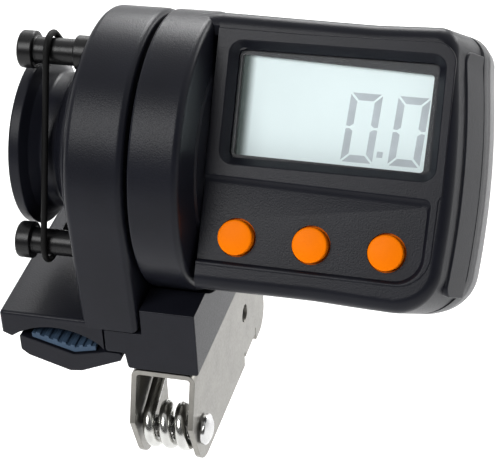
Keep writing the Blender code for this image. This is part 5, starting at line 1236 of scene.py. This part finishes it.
@dataclass
class DisplayShells:
    """Front and rear shells of the display, with the swivel drum.

    A point of the face is (x, w): x runs along the axle and w up the tilted face.
    """

    left: float = 12.5
    middle: float = 39.0
    right: float = 65.0
    half: float = 27.3
    ease: float = 20.0
    dip: Point2 = (0.36, 0.46)
    dip_run: float = 29.5
    dip_end: float = 0.55
    dip_end_run: Point2 = (43.0, 17.0)
    sag: float = 0.6
    sag_run: Point2 = (35.0, 15.0)
    crown: float = 0.55
    crown_run: Point2 = (40.0, 15.0)
    crown_fall: float = 1.7
    crown_middle: float = -3.0
    crown_reach: float = 24.0
    crown_held: float = 1.0
    strips: int = 10
    long_side: float = 8.0
    strips_from: float = 10.0
    front: float = -13.3
    back: float = 13.5
    wall: float = 1.8
    corner: float = 4.9
    corner_low: float = 8.2
    relief: float = 0.25
    overrun: float = 8.2
    top_edge: float = 2.9
    side_edge: float = 1.7
    rear_edge: float = 2.4
    lean: float = 0.3395
    lean_start: float = 1.4
    strip_proud: float = 0.4
    strip_front: float = -8.8
    strip_half: float = 23.4
    strip_corner: float = 2.4
    strip_overlap: float = 2.0
    strip_depth: float = 6.0
    strip_rows: int = 10
    strip_row: float = 3.9
    front_turns: tuple[int, ...] = (0, 6, 14, 22, 31, 40, 50, 60, 70, 80, 90)
    rear_turns: tuple[int, ...] = (90, 80, 68, 56, 44, 33, 22, 11, 0)
    parting_front: float = -1.6
    parting_rear: float = -1.3
    drum: float = 28.3
    drum_left: float = 1.25
    drum_right: float = 12.3
    drum_wall: float = 2.0
    drum_end: float = 22.5
    drum_taper: float = 1.0
    swivel_bore: float = 7.25
    bore_start: float = -1.0
    bore_end: float = 4.0
    shoulder_x: float = 9.8
    shoulder: float = 26.7
    shoulder_reach: float = 1.5
    shoulder_steps: int = 10
    end_wall: Point2 = (11.9, 19.5)
    bridge_left: float = 4.6
    bridge_steps: int = 10
    bridge_depths: tuple[float, ...] = (-4.0, -6.5, -8.5)
    bridge_sunk: float = 0.2
    bridge_thick: float = 1.5
    bridge_into: float = 0.5
    seam: float = 0.425
    inlay: float = 0.07
    neck_front: float = -7.5
    neck_half: float = 25.8
    way_half: float = 9.0
    way_depth: float = 8.0
    lens: tuple[float, float, float, float] = (16.5, 55.8, -1.2, 19.95)
    lens_setback: float = 2.0
    lens_thickness: float = 0.8
    flare: float = 1.45
    recess_corner: float = 1.2
    opening: tuple[Corner, ...] = (
        (17.0, 19.15, 0.5), (54.8, 17.85, 0.7), (54.4, -0.9, 0.7), (17.2, -0.5, 0.5))
    ledge_thickness: float = 0.8
    rim_right: float = 57.4
    rim_bottom: float = -22.45
    rim_over: float = 1.6
    face_cut_end: float = 4.0
    plateau_root: float = 1.0
    plateau_edge: float = 0.22
    rim_edge: float = 0.24
    plateau: tuple[Corner, ...] = (
        (4.0, 23.8, 0), (29.0, 23.45, 0), (58.9, 23.9, 3.8), (58.9, -5.0, 0.8), (58.3, -6.0, 0.4),
        (57.8, -22.9, 6.5), (4.0, -22.5, 0))
    panel: tuple[Corner, ...] = ((12.4, -6.5, 0), (56.3, -7.5, 1.3), (56.0, -21.9, 5.2), (12.4, -21.4, 0))
    panel_far: tuple[Corner, ...] = (
        (12.4, -5.0, 0), (56.9, -6.014, 1.3), (56.54, -22.4, 5.2), (12.4, -21.9, 0))
    panel_depth: float = 0.85
    key_hole: float = 3.8
    screws: tuple[Point2, ...] = ((16.7, 21.9), (27.35, -21.9), (56.5, -21.9), (56.5, 21.9))
    front_post: float = 2.2
    rear_post: float = 2.7
    screw_seat: float = 9.5
    screw_length: float = 16.0
    cell: Point2 = (38.75, 0.0)
    cup: float = 11.4
    cup_wall: float = 1.2
    cup_floor_back: float = 7.4
    cup_floor: float = 1.0
    door: float = 11.8
    door_low: float = 11.9
    slot_half: float = 6.0
    slot_width: float = 0.8
    slot_depth: float = 0.8

    def _sloped(self, spot: Vector) -> Vector:
        """Return a point set in by the slope of the right side at its depth."""
        return spot - Vector((self.lean * (self.lean_start - spot.y), 0, 0))

    def _leaned(self, spot: Vector, inset: float = 0.0) -> Vector:
        """Return a point after the right side, where the point is on it, leans in towards the front."""
        corner = self.corner if spot.z > 0 else self.corner_low
        if spot.x > self.right - corner - inset - 0.01 and spot.y < self.lean_start:
            return self._sloped(spot)
        return spot

    def _eased(self, spot: Vector) -> Vector:
        """Return a point of the skin after the top dips, the bottom sags and the right side crowns."""
        x, w = spot.x, spot.z
        edge = share_along(abs(w), 0.0, self.ease)
        if w > 0:
            w -= edge * (self.dip[0] + self.dip[1] * share_along(x, self.left, self.dip_run))
            w += edge * self.dip_end * share_along(x, *self.dip_end_run)
        else:
            w -= edge * self.sag * share_along(x, *self.sag_run)
        fall = ((spot.z - self.crown_middle) / self.crown_reach) ** 2
        x += share_along(x, *self.crown_run) * (self.crown - self.crown_fall * min(fall, self.crown_held))
        return Vector((x, spot.y, w))

    def _profile(self, left: float, left_corner: float, steps: int = 16) -> list[tuple[Vector, Vector]]:
        """Return the case's outline as (x, w) points and their outward ways, clockwise from the top right.

        Args:
            left: Where the outline's left side is.
            left_corner: Radius of the corners at the left.
            steps: Segments of each corner.

        Returns:
            The points with their ways; the long sides have points in between as well.
        """
        items: list[tuple[Vector, Vector]] = []
        bends = ((self.right, self.half, self.corner, 90), (self.right, -self.half, self.corner_low, 0),
                 (left, -self.half, left_corner, -90), (left, self.half, left_corner, 180))
        for x, w, radius, start in bends:
            if radius == 0:
                items.append((Vector((x, w)), Vector((0, math.copysign(1, w)))))
                continue
            centre = Vector((x - math.copysign(radius, x - self.middle), w - math.copysign(radius, w)))
            for step in range(steps + 1):
                turn = math.radians(start - 90 * step / steps)
                way = Vector((math.cos(turn), math.sin(turn)))
                items.append((centre + way * radius, way))
        filled: list[tuple[Vector, Vector]] = []
        for (spot, way), (after, _) in zip(items, items[1:] + items[:1]):
            filled.append((spot, way))
            if (after - spot).length > self.long_side and max(spot.x, after.x) > left + self.strips_from:
                filled += [(spot.lerp(after, step / self.strips), way) for step in range(1, self.strips)]
        return filled

    def _ring(self, items: Sequence[tuple[Vector, Vector]], place: float, turn: float, toward: int,
              tall: float, wide: float, inset: float = 0.0) -> list[Vector]:
        """Return one ring of the case's skin.

        Args:
            items: The outline and its outward ways.
            place: Depth at which the rounding ends, or the ring's own depth.
            turn: Angle through the rounding, 90 where it is over.
            toward: -1 where the rounding faces the front, 1 where it faces the back.
            tall: Radius of the rounding at the top and bottom.
            wide: Radius of the rounding at the sides.
            inset: How far the right side is set in.

        Returns:
            The ring's points.
        """
        angle = math.radians(turn)
        ring = []
        for spot, way in items:
            radius = tall * way.y ** 2 + wide * way.x ** 2
            flat = spot - way * radius * (1 - math.sin(angle))
            depth = place + toward * (-radius * (1 - math.cos(angle)))
            point = self._leaned(Vector((flat.x, depth, flat.y)), radius)
            if way.x > 0:
                point.x -= inset * way.x
            ring.append(self._eased(point))
        return ring

    def _tube(self, radius: float, low: float, high: float, at: Point2, steps: int = 48) -> Solid:
        """Return a round bar or cutter along the display's depth."""
        return Solid.bar(radius, low, high, Along.Y, (at[0], 0, at[1]), steps)

    def _outline(self, grow: float) -> list[Point2]:
        """Return the window's outline, grown all round."""
        left, right, bottom, top = self.lens
        return plate(left - grow, right + grow, bottom - grow, top + grow, self.recess_corner + grow)

    def _window(self, grow: float, low: float, high: float, far_grow: Optional[float] = None) -> Solid:
        """Return a block of the window's outline, which may widen towards low."""
        near = self._outline(grow)
        if far_grow is None:
            return Solid.prism(near, low, high, Along.Y)
        far = self._outline(far_grow)
        return Solid.loft([[Vector((x, low, w)) for x, w in far], [Vector((x, high, w)) for x, w in near]])

    def _face(self) -> Solid:
        """Return the outer body of the front shell, with its raised face."""
        low = self.left - self.overrun
        items = self._profile(low, 0)
        base = self.front + self.relief
        rings = [self._ring(items, base, turn, -1, self.top_edge, self.side_edge, self.strip_proud)
                 for turn in self.front_turns]
        rings.append(self._ring(items, self.parting_front, 90, -1, 0, 0, self.strip_proud))
        body = Solid.loft(rings)
        raised = Solid.prism(rounded(self.plateau, steps=10), self.front, base + self.plateau_root, Along.Y,
                             self.plateau_edge, 3, (self.front,))
        outline = plate(self.strip_front, self.parting_front + self.strip_overlap, -self.strip_half,
                        self.strip_half, self.strip_corner, 10)
        strip = Solid.prism(outline, self.right - self.strip_depth, self.right, Along.X, 0.3, 3,
                            (self.right,))
        start = self.strip_rows / 2 * self.strip_row
        strip.slice([step * self.strip_row - start for step in range(self.strip_rows + 1)], (0, 0, 1))
        skin = self.right - self.strip_depth / 2
        strip.shift_where(lambda spot: spot.x > skin, lambda spot: self._eased(self._sloped(spot)))
        low, high = low - OVER, self.half + OVER
        side = Solid.block((low, self.front - OVER, -high), (self.left, self.face_cut_end, high))
        behind = Solid.block((low, self.parting_front, -high), (self.right + OVER, self.face_cut_end, high))
        return body.add(raised, strip).cut(behind, side)

    def _front(self) -> Solid:
        """Return the front shell."""
        corners: list[Corner] = [(0, self.drum_left, 0), (self.drum, self.drum_left, 0.6)]
        corners += [(radius, x, 0) for x, radius in self._shoulder()]
        corners.append((0, self.drum_right, 0))
        case = Solid.turned(corners, Along.X, steps=160)
        neck = Solid.block((self.shoulder_x, self.neck_front, -self.neck_half),
                           (self.left + self.wall / 2, self.parting_front - 0.2, self.neck_half))
        case.add(self._face(), neck, self._bridge())
        case.cut(self._hollow(self.front + self.wall, self.parting_front + OVER), *self._drum_space())
        left, right, bottom, top = self.lens
        lens_front = self.front + self.lens_setback
        ledge_front = lens_front + self.lens_thickness + GAP
        ledge_back = ledge_front + self.ledge_thickness
        case.add(Solid.block((left - OVER, self.front + self.wall / 2, bottom - OVER),
                             (right + OVER, ledge_back, top + OVER)))
        flared = self.flare / self.lens_setback * (self.lens_setback + OVER)
        case.cut(self._window(0, self.front - OVER, lens_front, flared),
                 self._window(0, lens_front - GAP, ledge_front),
                 Solid.prism(rounded(self.opening), lens_front, ledge_back + OVER, Along.Y),
                 self._panel_cutter())
        case.soften(self.rim_edge, self._is_rim, 3, 18)
        case.cut(*[self._tube(self.key_hole, self.front - OVER, self.front + self.wall + OVER, (x, KEY_W), 72)
                   for x in KEY_XS])
        case.add(*[self._tube(self.front_post, self.front + self.wall * 0.9, self.parting_front - 0.1, at)
                   for at in self.screws])
        tip = self.screw_seat - self.screw_length - 2 * GAP
        return case.cut(*[self._tube(SCREW_HOLE, tip, self.parting_front + OVER, at, 32)
                          for at in self.screws])

    def _drum_space(self) -> list[Solid]:
        """Return the cutters of the drum's hollow, the swivel's bore and the way into the case."""
        low, high = self.drum_left + self.drum_wall, self.drum_right - self.drum_wall
        inner = self.drum - self.drum_wall
        hollow = Solid.turned([(0, low, 0), (inner, low, 0.4), (inner, self.shoulder_x - self.drum_taper, 0),
                               (self.drum_end, high, 0), (0, high, 0)], Along.X, steps=120)
        bore = Solid.bar(self.swivel_bore, self.bore_start, self.bore_end, Along.X, steps=72)
        way = Solid.block((high - OVER, -self.way_depth, -self.way_half),
                          (self.left + self.wall + OVER, self.way_depth, self.way_half))
        return [hollow, bore, way]

    def _panel_cutter(self) -> Solid:
        """Return the cutter of the key panel, whose sides flare towards the front."""
        near, far = rounded(self.panel, steps=10), rounded(self.panel_far, steps=10)
        deep = self.front + self.panel_depth
        share = OVER / self.panel_depth
        grown = [(x + (x - near_x) * share, w + (w - near_w) * share)
                 for (x, w), (near_x, near_w) in zip(far, near)]
        return Solid.loft([[Vector((x, self.front - OVER, w)) for x, w in grown],
                           [Vector((x, deep, w)) for x, w in near]])

    def _is_rim(self, spot: Vector) -> bool:
        """Tell whether an edge lies on the rim of the display's recess or of the key panel."""
        across = self.left + 0.01 < spot.x < self.rim_right
        upright = self.rim_bottom < spot.z < self.lens[3] + self.rim_over
        return across and upright and abs(spot.y - self.front) < 0.01

    def _hollow(self, low: float, high: float) -> Solid:
        """Return the case's inner space between two depths."""
        outline = plate(self.left + self.wall, self.right - self.wall, self.wall - self.half,
                        self.half - self.wall, self.corner_low - self.wall, 14)
        space = Solid.prism(outline, low, high, Along.Y)
        edge = self.right - self.corner_low - 0.5
        return space.shift_where(lambda spot: spot.x > edge and spot.y < self.lean_start, self._sloped)

    def _shoulder(self) -> list[Point2]:
        """Return the drum's rounding as (x, radius) points."""
        width = self.shoulder_reach
        height = self.drum - self.shoulder
        turns = [math.radians(90 - 90 * step / self.shoulder_steps)
                 for step in range(self.shoulder_steps + 1)]
        points = [(self.shoulder_x + width * math.cos(turn), self.shoulder + height * math.sin(turn))
                  for turn in turns]
        return points + [self.end_wall, (self.drum_right, self.end_wall[1] - 0.5)]

    def _bridge(self) -> Solid:
        """Return the web that carries the case's top over the drum."""
        top, base = self.half - self.dip[0] - self.inlay, self.front + self.relief + self.inlay
        skin = [Vector((place, top)) for place in (self.parting_front - 0.2, *self.bridge_depths)]
        for angle in range(90, -1, -15):
            turn = math.radians(angle)
            skin.append(Vector((base + self.top_edge * (1 - math.cos(turn)),
                                top - self.top_edge * (1 - math.sin(turn)))))
        inner = [spot.normalized() * (self.shoulder - self.bridge_thick) for spot in reversed(skin)]
        start = self.drum - self.bridge_sunk
        rings = []
        for step in range(self.bridge_steps + 1):
            share = step / self.bridge_steps
            blend = share * share * (3 - 2 * share)
            x = self.bridge_left + (self.left + self.bridge_into - self.bridge_left) * share
            outer = [spot.normalized() * (start + (spot.length - start) * blend) for spot in skin]
            rings.append([Vector((x, spot.x, spot.y)) for spot in outer + inner])
        return Solid.loft(rings)

    def _rear(self) -> Solid:
        """Return the rear shell."""
        items = self._profile(self.left, self.corner)
        rings = [self._ring(items, place, 90, 1, 0, 0) for place in (self.parting_rear, self.lean_start)]
        rings += [self._ring(items, self.back, turn, 1, self.rear_edge, self.rear_edge)
                  for turn in self.rear_turns]
        case = Solid.loft(rings)
        low, high, in_wall = self.parting_rear - OVER, self.back + OVER, self.back - self.wall / 2
        side = Solid.block((self.left - OVER, low, -self.half - OVER),
                           (self.drum_right + self.seam, high, self.half + OVER))
        way = Solid.block((self.left - OVER, low, -self.way_half),
                          (self.left + self.wall + OVER, self.way_depth, self.way_half))
        case.cut(self._hollow(low, self.back - self.wall), side, way)
        floor = self.cup_floor_back - self.cup_floor
        case.add(self._tube(self.cup + self.cup_wall, floor, in_wall, self.cell, 96))
        case.cut(Solid.stepped((self.door + GAP, self.cup), (high, self.door_low - GAP, self.cup_floor_back),
                               Along.Y, (self.cell[0], 0, self.cell[1]), 96))
        case.add(*[self._tube(self.rear_post, self.parting_rear + 0.1, in_wall, at) for at in self.screws])
        ways = [Solid.stepped((SCREW_HOLE, HEAD_HOLE), (low, self.screw_seat - GAP, high), Along.Y,
                              (x, 0, w), 40) for x, w in self.screws]
        return case.cut(*ways)

    def build(self) -> None:
        """Build and place both shells, the window, the door and the screws."""
        front, rear = self._front(), self._rear()
        front.place("front_shell", HEAD_FRAME, BLACK_SHELL, "display", ("front_case",), "black_plastic")
        rear.place("rear_shell", HEAD_FRAME, BLACK_SHELL, "display", ("rear_case",), "black_plastic")
        lens_front = self.front + self.lens_setback
        window = self._window(-GAP, lens_front, lens_front + self.lens_thickness)
        window.place("window", HEAD_FRAME, CLEAR_WINDOW, "display", ("display_lens",), "clear_lens")
        for index, (x, w) in enumerate(self.screws):
            Screw(f"case_fixing_{index + 1}", f"case_screw_{index + 1}", "display", Along.Y, -1,
                  self.screw_seat, (x, 0, w), self.screw_length, HEAD_FRAME).build()
        at = (self.cell[0], 0, self.cell[1])
        door = Solid.turned([(0, self.back, 0), (self.door, self.back, 0.35), (self.door, self.door_low, 0.1),
                             (0, self.door_low, 0)], Along.Y, at, steps=120)
        slot = Solid.block((at[0] - self.slot_half, self.back - self.slot_depth, at[2] - self.slot_width),
                           (at[0] + self.slot_half, self.back + OVER, at[2] + self.slot_width))
        door.cut(slot).place("door_disc", HEAD_FRAME, BLACK_SHELL, "door", ("battery_door",), "black_plastic")


class Segment(Enum):
    """The seven bars of a digit."""

    TOP = "a"
    RIGHT_TOP = "b"
    RIGHT_BOTTOM = "c"
    BOTTOM = "d"
    LEFT_BOTTOM = "e"
    LEFT_TOP = "f"
    MIDDLE = "g"


ZERO = (Segment.TOP, Segment.RIGHT_TOP, Segment.RIGHT_BOTTOM, Segment.BOTTOM, Segment.LEFT_BOTTOM,
        Segment.LEFT_TOP)


@dataclass
class Crystals:
    """Liquid crystal panel with slanted digits."""

    left: float = 16.6
    right: float = 55.3
    bottom: float = -1.1
    top: float = 19.5
    front: float = -9.1
    back: float = -7.4
    ink: float = 0.02
    digit_lefts: tuple[float, ...] = (38.05, 47.25)
    digit_bottom: float = 0.05
    digit_width: float = 6.2
    digit_height: float = 13.4
    bar: float = 1.4
    split: float = 0.3
    slant: float = 0.068
    point_left: float = 44.9
    point_bottom: float = 1.3
    point_size: float = 1.15
    margin: float = 0.2
    notch: float = 0.6

    def _bars(self) -> dict[Segment, list[Point2]]:
        """Return each bar's outline within an upright digit."""
        wide, high, bar, split = self.digit_width, self.digit_height, self.bar, self.split
        middle, half, notch = high / 2, bar / 2, split * self.notch
        return {
            Segment.TOP: [(split, high), (wide - split, high), (wide - bar - split, high - bar),
                          (bar + split, high - bar)],
            Segment.BOTTOM: [(split, 0), (wide - split, 0), (wide - bar - split, bar), (bar + split, bar)],
            Segment.RIGHT_TOP: [(wide, high - split), (wide, middle + split), (wide - half, middle + notch),
                                (wide - bar, middle + half), (wide - bar, high - bar - split)],
            Segment.RIGHT_BOTTOM: [(wide, split), (wide, middle - split), (wide - half, middle - notch),
                                   (wide - bar, middle - half), (wide - bar, bar + split)],
            Segment.LEFT_TOP: [(0, high - split), (0, middle + split), (half, middle + notch),
                               (bar, middle + half), (bar, high - bar - split)],
            Segment.LEFT_BOTTOM: [(0, split), (0, middle - split), (half, middle - notch),
                                  (bar, middle - half), (bar, bar + split)],
            Segment.MIDDLE: [(bar, middle), (bar + half, middle + half), (wide - bar - half, middle + half),
                             (wide - bar, middle), (wide - bar - half, middle - half),
                             (bar + half, middle - half)],
        }

    def _ink(self, outline: Sequence[Point2], left: float) -> Solid:
        """Return one flat mark, slanted and moved to its digit's place."""
        points = [(left + x + self.slant * z, self.digit_bottom + z) for x, z in outline]
        return Solid.prism(points, self.front - self.ink, self.front, Along.Y)

    def build(self) -> None:
        """Build and place the panel and its digits."""
        panel = Solid.block((self.left, self.front, self.bottom), (self.right, self.back, self.top), 0.12, 2)
        panel.place("crystal_panel", HEAD_FRAME, PALE_CRYSTAL, "display", ("lcd_panel",), "lcd_glass")
        bars = self._bars()
        marks = [self._ink(bars[bar], left) for left in self.digit_lefts for bar in ZERO]
        size, low = self.point_size, self.point_bottom
        marks.append(self._ink([(0, low), (size, low), (size, low + size), (0, low + size)], self.point_left))
        limit = self.right - self.margin
        digits = bmesh.new()
        for mark in marks:
            mesh = bpy.data.meshes.new("mark")
            mark.shift_where(lambda spot: spot.x > limit, lambda spot: Vector((limit, spot.y, spot.z)))
            mark.work.to_mesh(mesh)
            mark.work.free()
            digits.from_mesh(mesh)
            bpy.data.meshes.remove(mesh)
        Solid(digits).place("digits", HEAD_FRAME, DIGIT_INK, "display", (), "lcd_glass")


@dataclass
class Keys:
    """Three round keys."""

    names: tuple[str, ...] = ("left", "middle", "right")
    radius: float = 3.42
    face: float = -14.3
    dome: float = 0.3
    dome_steps: int = 10
    flange: float = 5.0
    flange_front: float = -11.2
    flange_back: float = -10.4
    stem: float = 2.0
    stem_back: float = -9.6

    def build(self) -> None:
        """Build and place the keys."""
        corners: list[Corner] = []
        for step in range(self.dome_steps - 1):
            share = step / self.dome_steps
            corners.append((self.radius * share, self.face - self.dome * (1 - share ** 2), 0))
        corners += [(self.radius, self.face, 0.45), (self.radius, self.flange_front, 0),
                    (self.flange, self.flange_front, 0.1), (self.flange, self.flange_back, 0.1),
                    (self.stem, self.flange_back, 0), (self.stem, self.stem_back, 0.2),
                    (0, self.stem_back, 0)]
        for x, name in zip(KEY_XS, self.names):
            key = Solid.turned(corners, Along.Y, (x, 0, KEY_W), steps=96, arc_steps=6)
            key.place(f"{name}_cap", HEAD_FRAME, ORANGE_KEY, f"{name}_key", (f"button_{name}",),
                      "orange_plastic", sharp=50)


@dataclass
class InnerPieces:
    """Plain solids that stay as they are and get their finishes."""

    finishes: dict[str, Finish] = field(default_factory=lambda: {
        "axle": PIN_STEEL, "axle_clip": PIN_STEEL, "thrust_washer": WHITE_PLASTIC,
        "friction_ring": BAND_RUBBER, "swivel_washer": PIN_STEEL, "swivel_clip": PIN_STEEL,
        "sensor_board": BOARD_GREEN,
        "wheel_sensor_1": SMOOTH_BLACK, "wheel_sensor_2": SMOOTH_BLACK, "wheel_magnet_1": MAGNET_GREY,
        "wheel_magnet_2": MAGNET_GREY, "left_bush": BRONZE, "right_bush": BRONZE, "coin_cell": PIN_STEEL,
        "negative_contact": BRONZE, "positive_contact": BRONZE, "lcd_holder": WHITE_PLASTIC,
        "circuit_board": BOARD_GREEN, "keypad": BAND_RUBBER})

    def dress(self, nodes: dict[str, bpy.types.Object]) -> None:
        """Give each node its finish."""
        for name, finish in self.finishes.items():
            nodes[name].data.materials.clear()
            nodes[name].data.materials.append(finish.material())
            LOG.info("%s: %s", name, finish.name)


@dataclass
class Studio:
    """Pale floor, soft lights and the camera; its places are in metres."""

    floor_z: float = -0.105
    floor_half: float = 3.0
    floor_thickness: float = 5.0
    floor_glow: float = 0.45
    surround: float = 0.22
    ahead: float = 0.12
    ahead_start: float = -0.6
    ahead_end: float = 0.1
    eye: tuple[float, float, float] = (0.11208, -0.26905, 0.190823)
    azimuth: float = 16.085
    elevation: float = 32.686
    roll: float = -3.002
    lens: float = 115.37
    target: tuple[float, float, float] = (0.035, 0.0, 0.02)
    lights: tuple[tuple[str, tuple[float, float, float], float, float], ...] = (
        ("back", (-0.05, 0.80, 0.62), 0.5, 8.6), ("front", (-0.30, -0.72, 0.74), 0.55, 7.8),
        ("side", (0.66, 0.86, 0.30), 0.5, 4.6))

    def _floor(self) -> None:
        """Lay the floor, which shows white but keeps the shadow."""
        half, top = self.floor_half / MM, self.floor_z / MM
        floor = Solid.block((-half, -half, top - self.floor_thickness), (half, half, top))
        bmesh.ops.transform(floor.work, matrix=Matrix.Scale(MM, 4), verts=floor.work.verts)
        item = floor._object("floor")
        floor.work.free()
        material = bpy.data.materials.new("pale_floor")
        material.use_nodes = True
        tree = material.node_tree
        shader = tree.nodes["Principled BSDF"]
        shader.inputs["Base Color"].default_value = (0.9, 0.9, 0.9, 1.0)
        shader.inputs["Roughness"].default_value = 0.9
        shader.inputs["Specular IOR Level"].default_value = 0.0
        shader.inputs["Emission Color"].default_value = (1.0, 1.0, 1.0, 1.0)
        shader.inputs["Emission Strength"].default_value = self.floor_glow
        item.data.materials.append(material)

    def _seen(self, tree: bpy.types.NodeTree) -> bpy.types.NodeSocket:
        """Return a value that is 1 for camera, glossy and transmission rays."""
        path = tree.nodes.new("ShaderNodeLightPath")
        value = path.outputs["Is Camera Ray"]
        for name in ("Is Glossy Ray", "Is Transmission Ray"):
            either = tree.nodes.new("ShaderNodeMath")
            either.operation = "MAXIMUM"
            tree.links.new(value, either.inputs[0])
            tree.links.new(path.outputs[name], either.inputs[1])
            value = either.outputs["Value"]
        return value

    def _surround(self) -> None:
        """Make the surroundings white to the camera and in reflections, and softer as light."""
        world = bpy.data.worlds.new("studio")
        bpy.context.scene.world = world
        world.use_nodes = True
        tree = world.node_tree
        back = tree.nodes["Background"]
        seen = self._seen(tree)
        place = tree.nodes.new("ShaderNodeTexCoord")
        split = tree.nodes.new("ShaderNodeSeparateXYZ")
        tree.links.new(place.outputs["Generated"], split.inputs["Vector"])
        white = tree.nodes.new("ShaderNodeMapRange")
        white.interpolation_type = "SMOOTHSTEP"
        white.inputs["From Min"].default_value = self.ahead_start
        white.inputs["From Max"].default_value = self.ahead_end
        white.inputs["To Min"].default_value = self.ahead
        white.inputs["To Max"].default_value = 1.0
        tree.links.new(split.outputs["Y"], white.inputs["Value"])
        strength = tree.nodes.new("ShaderNodeMapRange")
        strength.inputs["To Min"].default_value = self.surround
        tree.links.new(white.outputs["Result"], strength.inputs["To Max"])
        tree.links.new(seen, strength.inputs["Value"])
        tree.links.new(strength.outputs["Result"], back.inputs["Strength"])
        back.inputs["Color"].default_value = (1.0, 1.0, 1.0, 1.0)

    def _light(self, name: str, place: tuple[float, float, float], size: float, power: float) -> None:
        """Hang one square soft light that faces the part."""
        data = bpy.data.lights.new(name, "AREA")
        data.shape = "SQUARE"
        data.size = size
        data.energy = power
        item = bpy.data.objects.new(name, data)
        bpy.context.scene.collection.objects.link(item)
        way = Vector(self.target) - Vector(place)
        item.matrix_world = Matrix.Translation(place) @ way.to_track_quat("-Z", "Y").to_matrix().to_4x4()

    def _camera(self) -> None:
        """Set the camera where the photograph was taken from."""
        azimuth, elevation, roll = (math.radians(angle)
                                    for angle in (self.azimuth, self.elevation, self.roll))
        ahead = Vector((-math.sin(azimuth) * math.cos(elevation), math.cos(azimuth) * math.cos(elevation),
                        -math.sin(elevation)))
        level = Vector((math.cos(azimuth), math.sin(azimuth), 0))
        above = level.cross(ahead)
        right = level * math.cos(roll) + above * math.sin(roll)
        up = above * math.cos(roll) - level * math.sin(roll)
        data = bpy.data.cameras.new("camera")
        data.lens = self.lens
        data.sensor_width = 36.0
        data.sensor_fit = "HORIZONTAL"
        data.clip_start = 0.01
        item = bpy.data.objects.new("camera", data)
        turned = Matrix((right, up, -ahead)).transposed().to_4x4()
        item.matrix_world = Matrix.Translation(self.eye) @ turned
        bpy.context.scene.collection.objects.link(item)
        bpy.context.scene.camera = item

    def build(self) -> None:
        """Set up the floor, the surroundings, the lights and the camera."""
        self._floor()
        self._surround()
        for light in self.lights:
            self._light(*light)
        self._camera()
        bpy.context.scene.view_settings.view_transform = "Standard"
        LOG.info("studio set")


def main() -> None:
    """Load the frame, build and dress every sub-assembly, and set the studio."""
    logging.basicConfig(level=logging.INFO, format="%(name)s: %(message)s")
    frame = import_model()
    for assembly in (RodStand(), ClampBlock(), ClampChannel(), ClampJaw(), LineGuide(), CountingWheel(),
                     DisplayShells(), Crystals(), Keys()):
        LOG.info("building %s", type(assembly).__name__)
        assembly.build()
    InnerPieces().dress(frame["nodes"])
    Studio().build()


if __name__ == "__main__":
    main()
